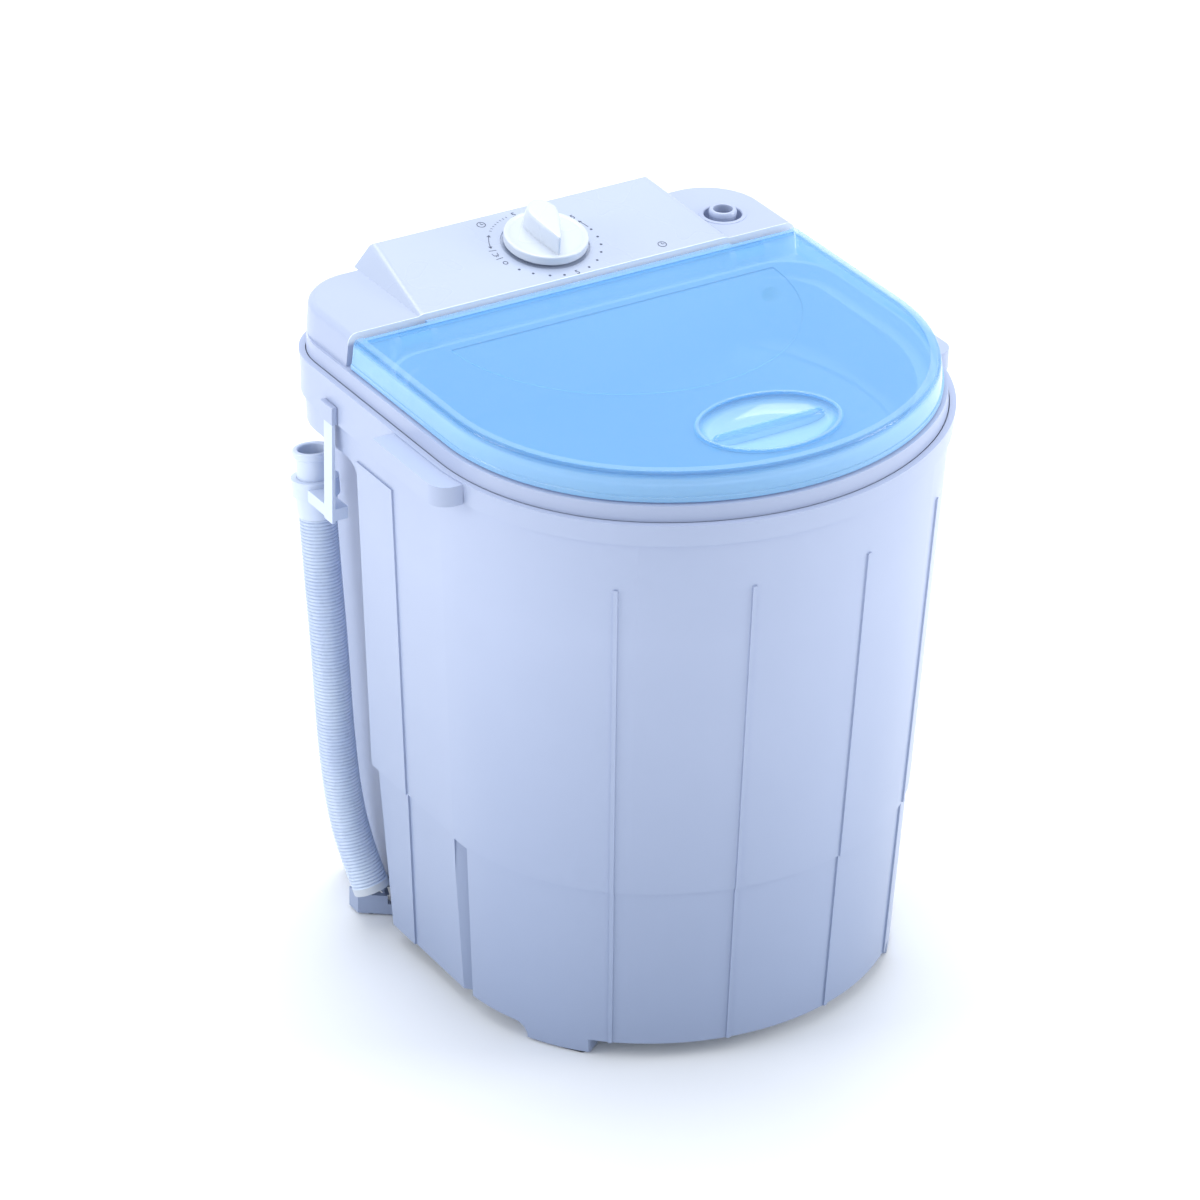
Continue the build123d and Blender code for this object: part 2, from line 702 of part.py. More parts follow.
def timer_body():
    """Spring timer in its case, with two ears, hung under the panel."""
    w, d, h = timer_size
    case = Pos(0, 0, -panel_t - h / 2) * Box(w, d, h)
    ears = Pos(0, 0, -panel_t - timer_ear_t / 2) * Box(w + 4 * screw_head_r, 2 * screw_head_r + timer_ear_t, timer_ear_t)
    sleeve = Pos(0, 0, -panel_t / 2) * Cylinder(dial_hole_r - gap, panel_t)
    bore = Pos(0, 0, -panel_t) * Cylinder(shaft_r + run_fit, 4 * panel_t)
    body = (case + ears + sleeve) - bore
    return dial_spot() * (body & Pos(0, 0, -deck_z / 2) * Box(4 * w, 4 * w, deck_z))


def timer_shaft():
    low = -panel_t * 3 + free_gap
    high = knob_gap + knob_h
    return dial_spot() * Pos(0, 0, (low + high) / 2) * Cylinder(shaft_r, high - low)


def grip():
    """Raised grip on the knob: wide behind, narrow where it points."""
    z0 = knob_gap + knob_h - over
    layers = []
    for lean, z in ((0, z0), (grip_lean, z0 + grip_h + over)):
        tip = grip_tip_w / 2 - lean / 2
        back = grip_rear_w / 2 - lean
        reach = knob_r - grip_lean - lean
        side = reach * grip_shoulder
        end = (back * grip_back[0], reach * grip_back[1])
        outline = Polyline((-tip, -reach, z), (tip, -reach, z), (back, side, z), (end[0], end[1], z),
                           (-end[0], end[1], z), (-back, side, z), close=True)
        layers.append(make_face(outline))
    return loft(layers, ruled=True)


def timer_knob():
    """Round knob with a raised bar to turn it by, hollow below."""
    disc = Pos(0, 0, knob_gap + knob_h / 2) * Cylinder(knob_r, knob_h)
    disc = fillet(disc.edges().group_by(Axis.Z)[-1], knob_round)
    room = Pos(0, 0, knob_gap + (knob_h - panel_t) / 2) * Cylinder(knob_r - panel_t, knob_h - panel_t)
    hub = Pos(0, 0, knob_gap + knob_h / 2) * Cylinder(2 * shaft_r, knob_h)
    bore = Pos(0, 0, knob_h / 2 + knob_gap - over) * Cylinder(shaft_r, knob_h + 2 * over)
    turn = Rot(0, 0, dial_rest)
    return dial_spot() * turn * (((disc - room) + hub + grip()) - bore)


# ---------------------------------------------------------------- water inlet
def duct_z():
    return ledge_z - frame_t - duct_r - 2 * gap


def inlet_spigot():
    """Cup sunk into the deck, with the spigot for the filling hose in its middle."""
    x, y = inlet_at
    floor_z = deck_z - inlet_cup_h
    bore = inlet_cup_r - cup_side
    cup = ring(x, y, floor_z, deck_z, inlet_cup_r, bore)
    rim = ring(x, y, deck_z, deck_z + gap, inlet_cup_r + cup_side / 2, bore)
    floor = rod(x, y, floor_z - cup_side, floor_z, inlet_cup_r)
    tube = rod(x, y, floor_z, floor_z + spigot_h, spigot_r)
    return fused([cup, rim, floor, tube]) - rod(x, y, floor_z - 2 * cup_side, deck_z + spigot_h, spigot_bore)


def inlet_channel():
    """Elbow that leads the water from the spigot into the tub's mouth."""
    x, y = inlet_at
    top = deck_z - inlet_cup_h - cup_side
    z = duct_z()
    bore = duct_r - duct_wall
    end = mouth_rear - 2 * duct_r
    outer = rod(x, y, z, top, duct_r) + rod_y(x, end, y, z, duct_r) + Pos(x, y, z) * Sphere(duct_r)
    inner = rod(x, y, z, top + over, bore) + rod_y(x, end - over, y, z, bore) + Pos(x, y, z) * Sphere(bore)
    return outer - inner - mouth(tub_rim_z, ledge_z)


# ---------------------------------------------------------------- tub and drive
def grommet_spots():
    return [(side * bracket_arm, motor_y + end * bracket_t * 4) for side in (-1, 1) for end in (-1, 1)]


def wash_tub():
    top = tub_rim_z - tub_wall
    floor = tub_floor_z + tub_wall
    body = turned([(0, tub_floor_z), (tub_foot_r, tub_floor_z), (tub_top_r, top), (tub_rim_r, top),
                   (tub_rim_r, tub_rim_z), (tub_top_r - tub_wall, tub_rim_z), (tub_foot_r - tub_wall, floor),
                   (0, floor)])
    x, y = sump_at
    body = body + rod(x, y, tub_floor_z - sump_depth, tub_floor_z, sump_r + tub_wall)
    body = body - rod(x, y, tub_floor_z - sump_depth + tub_wall, floor + over, sump_r)
    body = body - rod(x, y, 0, floor, pipe_r - tub_wall + gap) - rod(0, 0, 0, floor + over, tub_hole_r)
    low = motor_z[1] + bracket_t + grommet_h
    bosses = [rod(x, y, low, tub_floor_z, boss_r) for x, y in grommet_spots()]
    body = fused([body] + bosses) - (housing_holes() & rod(0, 0, 0, tub_floor_z + tub_wall - gap, tub_foot_r))
    for x, y in grommet_spots():
        body = body - rod(x, y, low - over, tub_floor_z, screw_r)
    return body


def drain_grate():
    x, y = sump_at
    top = tub_floor_z + tub_wall
    frame = ring(x, y, top - grate_t, top, sump_r - gap / 2, sump_r - grate_bar)
    disc = rod(x, y, top - grate_t, top, sump_r - grate_bar / 2)
    bars = [disc & box_between(x + i * 2 * grate_bar - grate_bar / 2, x + i * 2 * grate_bar + grate_bar / 2,
                               y - sump_r, y + sump_r, 0, tub_rim_z) for i in (-2, -1, 0, 1, 2)]
    cross = disc & box_between(x - sump_r, x + sump_r, y - grate_bar / 2, y + grate_bar / 2, 0, tub_rim_z)
    return fused([frame, cross] + bars)


def drain_pipe():
    """Pipe from the sump down to the elbow in the niche wall."""
    x, y = sump_at
    top = tub_floor_z - sump_depth
    knee = elbow_knee()
    line = FilletPolyline((x, y, top), (x, y, top / 2), (x, knee.Y, knee.Z), (elbow_end(), knee.Y, knee.Z),
                          radius=[3 * pipe_r, 2 * pipe_r])
    outer = sweep(Plane(line @ 0, z_dir=line % 0) * Circle(pipe_r), path=line)
    inner = sweep(Plane(line @ 0, z_dir=line % 0) * Circle(pipe_r - cuff_wall), path=line)
    return outer - inner


def hose_way():
    """Direction in which the hose leaves the elbow."""
    return (Vector(*hose_route[1]) - Vector(*hose_route[0])).normalized()


def elbow_knee():
    return Vector(*hose_route[0]) - hose_way() * elbow_drop


def elbow_end():
    """Where the elbow meets the pipe, inside the niche wall."""
    return -niche_x + 2 * wall + free_gap


def drain_elbow():
    """Elbow that leads out through the niche wall and turns up into the hose."""
    knee = elbow_knee()
    level = rod_x(knee.X, elbow_end(), knee.Y, knee.Z, elbow_r)
    riser = Plane(knee, z_dir=hose_way()) * on_cuff(0, elbow_drop, elbow_r)
    socket = Plane(knee, z_dir=hose_way()) * on_cuff(elbow_drop / 2, elbow_drop, hose_r)
    return fused([level, Pos(knee) * Sphere(elbow_r), riser, socket])


def bearing_housing():
    low = housing_z
    top = tub_floor_z
    inside = bearing_r - bearing_stop
    body = turned([(inside, low), (housing_r, low), (housing_r, top - housing_flange_t),
                   (housing_flange_r, top - housing_flange_t), (housing_flange_r, top), (inside, top)])
    for z in bearing_z:
        body = body - rod(0, 0, z, z + bearing_w, bearing_r)
    return body - housing_holes()


def housing_holes():
    low = tub_floor_z - housing_flange_t - over
    return fused([rod(x, y, low, tub_floor_z + tub_wall, screw_r) for x, y in housing_screw_spots()])


def bearing(z):
    return ring(0, 0, z, z + bearing_w, bearing_r, shaft_d / 2 + run_fit)


def housing_screw_spots():
    r = housing_flange_r - 2 * screw_head_r
    return [(r * math.cos(math.radians(a)), r * math.sin(math.radians(a))) for a in housing_screw_angles]


def housing_screws():
    z = tub_floor_z - housing_flange_t
    return Compound([screw(x, y, z, housing_flange_t + tub_wall - gap) for x, y in housing_screw_spots()])


def shaft_seal():
    top = pulsator_z - pulsator_t - gap
    return ring(0, 0, tub_floor_z, top, tub_hole_r, shaft_d / 2 + run_fit)


def drive_shaft():
    return rod(0, 0, shaft_foot_z, shaft_top_z, shaft_d / 2)


def dome_points(shares):
    return [(pulsator_r * across, pulsator_z + pulsator_dome * up) for across, up in shares]


def pulsator():
    """Domed disc with fins, a hub and a seat for its cap."""
    low = pulsator_z - pulsator_t
    crown = pulsator_z + pulsator_dome
    flank = dome_points(pulsator_flank)
    profile = [(shaft_d / 2, low), (pulsator_r, low), (pulsator_r, pulsator_z)] + flank
    profile = profile + [(cap_r + hub_wall, crown), (cap_r, crown), (cap_r, shaft_top_z + seat_step),
                         (shaft_d / 2, shaft_top_z + seat_step)]
    body = turned(profile)
    edge = pulsator_r - fin_in
    fin = turned([(cap_r + hub_wall, low), (edge, low), (edge, pulsator_z + seat_step)] + dome_points(fin_shape)
                 + [(cap_r + hub_wall, crown)])
    fins = [fin & Rot(0, 0, 360 / fin_count * i) * box_between(0, pulsator_r, -fin_w / 2, fin_w / 2, low, tub_rim_z)
            for i in range(fin_count)]
    return fused([body] + fins) - rod(0, 0, 0, shaft_top_z, shaft_d / 2)


def pulsator_screw():
    z = shaft_top_z + seat_step
    return rod(0, 0, shaft_top_z, z, shaft_d / 2) + rod(0, 0, z, z + hub_wall, shaft_d / 2 + hub_wall)


def pulsator_cap():
    z = pulsator_z + pulsator_dome
    cap = rod(0, 0, z - cap_h, z + over, cap_r)
    return fillet(cap.edges().group_by(Axis.Z)[-1], cap_round)


def grooved_pulley(y, r, pitch, bore):
    """Pulley with one groove for the belt."""
    mid = pulley_z + pulley_w / 2
    floor_r = pitch - belt_t / 2 - belt_fit
    body = rod(0, y, pulley_z, pulley_z + pulley_w, r)
    body = body - ring(0, y, mid - groove_w / 2, mid + groove_w / 2, r + over, floor_r)
    return body - rod(0, y, 0, tub_rim_z, bore)


def large_pulley():
    body = grooved_pulley(0, pulley_r, pulley_pitch, shaft_d / 2)
    hole_r = (pulley_pitch - shaft_d) / (lightening_count - 1)
    for i in range(lightening_count):
        turn = Rot(0, 0, 360 / lightening_count * i)
        body = body - turn * rod(pulley_r * lightening_share, 0, 0, tub_rim_z, hole_r)
    return body


def pulley_nut():
    plate = RegularPolygon(shaft_d * 0.75, 6)
    nut = Pos(0, 0, shaft_foot_z + over) * extrude(plate, pulley_z - shaft_foot_z - over)
    return nut - rod(0, 0, 0, tub_rim_z, shaft_d / 2)


def small_pulley():
    return grooved_pulley(motor_y, small_pulley_r, small_pitch, motor_shaft_r)


def belt_loop(r0, r1, z0, z1):
    """Closed band round two circles."""
    lean = math.asin((r0 - r1) / motor_y)
    cx, sx = math.cos(lean), math.sin(lean)
    sides = Polyline((r0 * cx, r0 * sx), (r1 * cx, motor_y + r1 * sx), (-r1 * cx, motor_y + r1 * sx),
                     (-r0 * cx, r0 * sx), close=True)
    slab = Pos(0, 0, z0) * extrude(make_face(sides), z1 - z0)
    return fused([slab, rod(0, 0, z0, z1, r0), rod(0, motor_y, z0, z1, r1)])


def drive_belt():
    mid = pulley_z + pulley_w / 2
    half = groove_w / 2 - belt_fit
    t = belt_t / 2
    outer = belt_loop(pulley_pitch + t, small_pitch + t, mid - half, mid + half)
    return outer - belt_loop(pulley_pitch - t, small_pitch - t, mid - half - over, mid + half + over)


def motor_body():
    z0, z1 = motor_z
    case = rod(0, motor_y, z0, z1, motor_r)
    case = fillet(case.edges(), motor_round)
    inward, proud = motor_band
    band = ring(0, motor_y, z0 + inward, z1 - inward, motor_r + proud, motor_r - over)
    hole = rod(0, motor_y, 0, z1 + over, motor_shaft_r + run_fit)
    room = rod(0, motor_y, z0 + motor_end_t, z1 - motor_end_t, motor_r - motor_case_t)
    return (case + band) - hole - room


def motor_shaft():
    return rod(0, motor_y, pulley_z - free_gap, motor_z[1], motor_shaft_r)


def rotor():
    z0, z1 = motor_z
    end, side = rotor_in
    return ring(0, motor_y, z0 + end, z1 - end, motor_r - side, motor_shaft_r)


def stator():
    z0, z1 = motor_z
    end, side = stator_in
    return ring(0, motor_y, z0 + end, z1 - end, motor_r - motor_case_t, motor_r - side)


def cooling_fan():
    hub = rod(0, motor_y, fan_z, fan_z + fan_t, 3 * motor_shaft_r)
    disc = rod(0, motor_y, fan_z + fan_t - fan_disc_t, fan_z + fan_t, fan_r)
    blades = [Pos(0, motor_y, 0) * Rot(0, 0, 360 / fan_blades * i)
              * box_between(2 * motor_shaft_r, fan_r, -blade_t / 2, blade_t / 2, fan_z, fan_z + fan_t)
              for i in range(fan_blades)]
    return fused([hub, disc] + blades) - rod(0, motor_y, 0, tub_rim_z, motor_shaft_r)


def motor_bracket():
    z = motor_z[1]
    reach = bracket_arm + 2 * boss_r
    half = 6 * bracket_t
    plate = box_between(-reach, reach, motor_y - half, motor_y + half, z, z + bracket_t)
    plate = plate - rod(0, motor_y, z - over, z + bracket_t + over, 2 * motor_shaft_r)
    for x, y in grommet_spots():
        plate = plate - rod(x, y, z - over, z + bracket_t + over, screw_r)
    return plate


def motor_grommets():
    z = motor_z[1] + bracket_t
    return Compound([ring(x, y, z, z + grommet_h, grommet_r, screw_r) for x, y in grommet_spots()])


def motor_bolts():
    length = bracket_t + grommet_h + seat_step
    return Compound([screw(x, y, motor_z[1], length) for x, y in grommet_spots()])


def capacitor():
    x, y, z = capacitor_at
    can = rod(x, y, z, z + capacitor_len, capacitor_r)
    return fillet(can.edges(), capacitor_round)


def capacitor_clip():
    x, y, z = capacitor_at
    top = tub_floor_z
    low = z + (capacitor_len - strip_w) / 2
    side = y + capacitor_r
    band = ring(x, y, low, low + strip_w, capacitor_r + strip_t, capacitor_r)
    strap = box_between(x - strip_w / 2, x + strip_w / 2, side, side + strip_t, low, top)
    foot = box_between(x - strip_w / 2, x + strip_w / 2, y, side + strip_t, top - strip_t, top)
    return fused([band, strap, foot])


def terminal_block():
    w, d, h = block_size
    x, z = block_at
    back = rear_reach - body_in(z) - base_step - wall
    body = box_between(x - w / 2, x + w / 2, back - d, back, z, z + h)
    for i in (-1, 0, 1):
        body = body - rod(x + i * block_pitch, back - d / 2, z + h / 2, z + h + over, block_hole_r)
    return body


def cord_gland():
    """Strain relief for the mains lead, at the back."""
    x, z = gland_at
    y = gland_spot()
    step, end = gland_steps
    flange = rod_y(x, y, y + step, z, gland_r - over)
    inner = rod_y(x, y - 3 * wall, y, z, gland_r - 2 * cup_wall)
    nose = rod_y(x, y + step, y + end, z, gland_bore + nose_wall)
    return fused([flange, inner, nose]) - rod_y(x, y - 4 * wall, y + end + over, z, gland_bore)


# ---------------------------------------------------------------- drain hose
def route_radii(points):
    """The largest arc that each corner of a route has room for."""
    steps = [Vector(*b) - Vector(*a) for a, b in zip(points, points[1:])]
    radii = []
    for before, after in zip(steps, steps[1:]):
        half_turn = math.radians(before.get_angle(after)) / 2
        radii.append(arc_share * min(before.length, after.length) / math.tan(half_turn))
    return radii


def drain_hose():
    line = FilletPolyline(*hose_route, radius=route_radii(hose_route))
    section = Plane(line @ 0, z_dir=line % 0) * Circle(hose_r)
    hose = sweep(section, path=line)
    print("hose radii", [round(r) for r in route_radii(hose_route)])
    print("hose length", round(line.length, 1), "volume ratio", round(hose.volume / line.length / math.pi / hose_r ** 2, 4))
    return hose


def cuff_plane():
    end = Vector(*hose_route[-1])
    return Plane(end, z_dir=end - Vector(*hose_route[-2]))


def on_cuff(z0, z1, r):
    return Pos(0, 0, (z0 + z1) / 2) * Cylinder(r, z1 - z0)


def hose_cuff():
    """Rigid end piece: a sleeve on the hose, a neck and a lip."""
    cone = Pos(0, 0, cuff_sleeve / 2) * Cone(hose_r, cuff_lip_r, cuff_sleeve)
    neck = on_cuff(cuff_sleeve, cuff_len, cuff_neck_r)
    lip = on_cuff(cuff_len - cuff_lip_h, cuff_len, cuff_lip_r)
    bore = on_cuff(cuff_stop, cuff_len + over, cuff_neck_r - cuff_wall)
    return cuff_plane() * (fused([cone, neck, lip]) - bore)


def hose_clip():
    """Strap that hangs from the rim, with a collar round the cuff's neck."""
    plane = cuff_plane()
    z0 = cuff_sleeve + gap
    collar = plane * on_cuff(z0, z0 + collar_h, collar_r)
    mid = plane.origin + plane.z_dir * (z0 + collar_h / 2)
    x0 = -rim_half + strap_in - gap / 2 - strap_t
    strap = box_between(x0, x0 + strap_t, strap_y - strap_w / 2, strap_y + strap_w / 2, mid.Z - collar_h / 2, strap_top)
    arm = box_between(x0, x0 + cuff_neck_r, strap_y - strap_w / 2, mid.Y - cuff_neck_r,
                      mid.Z - arm_half, mid.Z + arm_half)
    hole = plane * on_cuff(-cuff_len, 2 * cuff_len, cuff_neck_r + gap / 2)
    return fused([collar, strap, arm]) - hole


def hose_hook():
    """Hook on the rim that the strap hangs from."""
    t, w, h = hook_size
    x1 = -rim_half + strap_in
    block = box_between(x1 - t, x1, strap_y - w / 2, strap_y + w / 2, strap_top - h / 2, strap_top + h / 2)
    slot = box_between(x1 - gap / 2 - strap_t, x1, strap_y - strap_w / 2, strap_y + strap_w / 2, 0, strap_top)
    return block - slot


# ---------------------------------------------------------------- all the sub-parts
def sub_parts():
    return {
        "base_skirt": base_skirt(),
        "rubber_feet": rubber_feet(),
        "bottom_plate": bottom_plate(),
        "plate_screws": plate_screws(),
        "outer_cabinet": outer_cabinet(),
        "cabinet_screws": cabinet_screws(),
        "top_frame": top_frame(),
        "frame_screws": rear_screws(rim_z - rear_drop / 2, rear_reach - drop_in, drop_in),
        "hinge_lugs": hinge_lugs(),
        "hinge_pins": hinge_pins(),
        "lid_shell": lid_shell(),
        "control_panel": control_panel(),
        "timer_body": timer_body(),
        "timer_shaft": timer_shaft(),
        "timer_knob": timer_knob(),
        "inlet_spigot": inlet_spigot(),
        "inlet_channel": inlet_channel(),
        "wash_tub": wash_tub(),
        "drain_grate": drain_grate(),
        "drain_pipe": drain_pipe(),
        "drain_elbow": drain_elbow(),
        "bearing_housing": bearing_housing(),
        "lower_bearing": bearing(bearing_z[0]),
        "upper_bearing": bearing(bearing_z[1]),
        "housing_screws": housing_screws(),
        "shaft_seal": shaft_seal(),
        "drive_shaft": drive_shaft(),
        "pulsator": pulsator(),
        "pulsator_screw": pulsator_screw(),
        "pulsator_cap": pulsator_cap(),
        "large_pulley": large_pulley(),
        "pulley_nut": pulley_nut(),
        "drive_belt": drive_belt(),
        "motor_body": motor_body(),
        "stator": stator(),
        "rotor": rotor(),
        "motor_shaft": motor_shaft(),
        "small_pulley": small_pulley(),
        "cooling_fan": cooling_fan(),
        "motor_bracket": motor_bracket(),
        "motor_grommets": motor_grommets(),
        "motor_bolts": motor_bolts(),
        "capacitor": capacitor(),
        "capacitor_clip": capacitor_clip(),
        "terminal_block": terminal_block(),
        "cord_gland": cord_gland(),
        "drain_hose": drain_hose(),
        "hose_cuff": hose_cuff(),
        "hose_clip": hose_clip(),
        "hose_hook": hose_hook(),
    }


os.makedirs("parts", exist_ok=True)
for name, shape in sub_parts().items():
    placed = Pos(0, -row_shift, 0) * shape
    export_step(placed, "parts/" + name + ".step")
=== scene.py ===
import bpy
import json
import math
from mathutils import Matrix, Vector


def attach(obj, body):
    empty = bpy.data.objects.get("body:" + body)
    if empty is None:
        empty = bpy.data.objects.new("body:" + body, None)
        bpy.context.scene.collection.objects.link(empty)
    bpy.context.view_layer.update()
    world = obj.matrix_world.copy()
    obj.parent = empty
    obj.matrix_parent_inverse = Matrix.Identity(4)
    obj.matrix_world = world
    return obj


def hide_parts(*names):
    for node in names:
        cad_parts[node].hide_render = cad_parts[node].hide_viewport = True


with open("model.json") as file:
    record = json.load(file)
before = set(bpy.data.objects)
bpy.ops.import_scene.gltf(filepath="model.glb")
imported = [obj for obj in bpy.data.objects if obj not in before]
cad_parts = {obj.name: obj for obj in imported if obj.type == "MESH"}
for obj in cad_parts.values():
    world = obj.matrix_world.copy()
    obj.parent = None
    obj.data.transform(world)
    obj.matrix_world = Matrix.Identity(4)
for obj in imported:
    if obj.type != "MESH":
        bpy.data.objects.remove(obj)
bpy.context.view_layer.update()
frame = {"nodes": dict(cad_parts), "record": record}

mm = 0.001
limits = {"weld": 2e-6, "spinWeld": 1e-6, "onLine": 1e-5, "flatAngle": 0.3, "upward": 0.5, "normalWeight": 80}


camera = {"lens": 165.0, "sensor": 36.0, "azimuth": -32.56, "elevation": 29.36, "roll": 1.32,
          "distance": 3.3613, "shiftRight": -0.04064, "shiftUp": -0.0178, "aim": (0.0, -0.013, 0.261),
          "clip": (0.1, 50.0)}


def addCamera():
    a, e, r = (math.radians(camera[k]) for k in ("azimuth", "elevation", "roll"))
    back = Vector((math.sin(a) * math.cos(e), -math.cos(a) * math.cos(e), math.sin(e)))
    level = Vector((math.cos(a), math.sin(a), 0))
    rise = back.cross(level)
    right = math.cos(r) * level + math.sin(r) * rise
    up = math.cos(r) * rise - math.sin(r) * level
    place = Vector(camera["aim"]) + back * camera["distance"]
    place += right * camera["shiftRight"] + up * camera["shiftUp"]
    data = bpy.data.cameras.new("viewCamera")
    data.lens, data.sensor_width = camera["lens"], camera["sensor"]
    data.clip_start, data.clip_end = camera["clip"]
    seen = bpy.data.objects.new("viewCamera", data)
    bpy.context.scene.collection.objects.link(seen)
    turn = Matrix((right, up, back)).transposed()
    seen.matrix_world = Matrix.Translation(place) @ turn.to_4x4()
    bpy.context.scene.camera = seen


addCamera()
print("camera placed")


def clearSelection():
    if bpy.context.mode != "OBJECT":
        bpy.ops.object.mode_set(mode="OBJECT")
    bpy.ops.object.select_all(action="DESELECT")


def activate(piece):
    clearSelection()
    piece.select_set(True)
    bpy.context.view_layer.objects.active = piece


def newPiece(name):
    piece = bpy.context.active_object
    piece.name = name
    piece.data.name = name
    return piece


def pick(piece, kind, test):
    activate(piece)
    bpy.ops.object.mode_set(mode="EDIT")
    bpy.ops.mesh.select_mode(type=kind)
    bpy.ops.mesh.select_all(action="DESELECT")
    bpy.ops.object.mode_set(mode="OBJECT")
    mesh = piece.data
    if kind == "VERT":
        for v in mesh.vertices:
            v.select = bool(test(v.co))
    elif kind == "EDGE":
        for e in mesh.edges:
            a, b = (mesh.vertices[i].co for i in e.vertices)
            e.select = bool(test(a, b))
    else:
        for f in mesh.polygons:
            f.select = bool(test(f.center, f.normal))
    bpy.ops.object.mode_set(mode="EDIT")


def facesUp(centre, normal):
    return normal.z > limits["upward"]


def facesDown(centre, normal):
    return normal.z < -limits["upward"]


def applyModifier(piece, kind, **settings):
    activate(piece)
    change = piece.modifiers.new(kind.lower(), kind)
    for key, value in settings.items():
        setattr(change, key, value)
    bpy.ops.object.modifier_apply(modifier=change.name)


def smooth(piece, degrees=35):
    activate(piece)
    bpy.ops.object.shade_smooth_by_angle(angle=math.radians(degrees))
    applyModifier(piece, "WEIGHTED_NORMAL", keep_sharp=True, weight=limits["normalWeight"])


def soften(piece, width, segments=3, degrees=32):
    applyModifier(piece, "BEVEL", width=width, segments=segments, limit_method="ANGLE",
                  angle_limit=math.radians(degrees), harden_normals=False, use_clamp_overlap=True)


def settle(piece):
    activate(piece)
    bpy.ops.object.transform_apply(location=True, rotation=True, scale=True)


def place(piece, matrix):
    piece.matrix_world = matrix @ piece.matrix_world
    settle(piece)


def dress(piece, body, slotName, material, *nodes):
    settle(piece)
    piece.data.materials.clear()
    piece.data.materials.append(material)
    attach(piece, body)
    if nodes:
        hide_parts(*nodes)
    return piece


def nodeCopy(node, name):
    source = frame["nodes"][node]
    piece = source.copy()
    piece.data = source.data.copy()
    piece.name = piece.data.name = name
    piece.parent = None
    for key in list(piece.keys()):
        del piece[key]
    bpy.context.scene.collection.objects.link(piece)
    activate(piece)
    bpy.ops.object.mode_set(mode="EDIT")
    bpy.ops.mesh.select_all(action="SELECT")
    bpy.ops.mesh.customdata_custom_splitnormals_clear()
    bpy.ops.mesh.remove_doubles(threshold=limits["weld"])
    bpy.ops.mesh.dissolve_limited(angle_limit=math.radians(limits["flatAngle"]))
    bpy.ops.object.mode_set(mode="OBJECT")
    return piece


def joined(pieces, name):
    clearSelection()
    for piece in pieces:
        piece.select_set(True)
    bpy.context.view_layer.objects.active = pieces[0]
    bpy.ops.object.join()
    return newPiece(name)


def copied(piece, name, matrix):
    twin = piece.copy()
    twin.data = piece.data.copy()
    twin.name = twin.data.name = name
    bpy.context.scene.collection.objects.link(twin)
    twin.matrix_world = matrix @ twin.matrix_world
    settle(twin)
    return twin


def tube(name, radius, low, high, x=0.0, y=0.0, sides=64):
    clearSelection()
    bpy.ops.mesh.primitive_cylinder_add(vertices=sides, radius=radius, depth=high - low,
                                        location=(x, y, (low + high) / 2))
    piece = newPiece(name)
    settle(piece)
    return piece


def turnedPiece(name, profile, steps=96):
    clearSelection()
    bpy.ops.mesh.primitive_plane_add(size=1, location=(0, 0, 0))
    piece = newPiece(name)
    bpy.ops.object.mode_set(mode="EDIT")
    bpy.ops.mesh.select_mode(type="VERT")
    bpy.ops.mesh.select_all(action="SELECT")
    bpy.ops.mesh.merge(type="CENTER")
    firstR, firstZ = profile[0]
    bpy.ops.transform.translate(value=(firstR, 0, firstZ))
    for (oldR, oldZ), (r, z) in zip(profile, profile[1:]):
        bpy.ops.mesh.extrude_region_move(TRANSFORM_OT_translate={"value": (r - oldR, 0, z - oldZ)})
    bpy.ops.mesh.select_all(action="SELECT")
    bpy.ops.mesh.spin(steps=steps, angle=2 * math.pi, center=(0, 0, 0), axis=(0, 0, 1))
    bpy.ops.mesh.select_all(action="SELECT")
    bpy.ops.mesh.remove_doubles(threshold=limits["spinWeld"])
    bpy.ops.mesh.normals_make_consistent(inside=False)
    bpy.ops.object.mode_set(mode="OBJECT")
    return piece


# A Mix node's colour sockets come after its number and vector sockets.
mixSockets = {"first": 6, "second": 7, "result": 2}


class Socket:
    def __init__(self, tree, link):
        self.tree, self.link = tree, link

    def maths(self, operation, first, second=0.0, clamp=False):
        settings = {"operation": operation, "use_clamp": clamp}
        return self.tree.add("ShaderNodeMath", settings, [first, second])

    def __add__(self, other): return self.maths("ADD", self, other)
    def __radd__(self, other): return self.maths("ADD", other, self)
    def __mul__(self, other): return self.maths("MULTIPLY", self, other)
    def __rmul__(self, other): return self.maths("MULTIPLY", other, self)
    def clamped(self): return self.maths("ADD", self, 0.0, True)


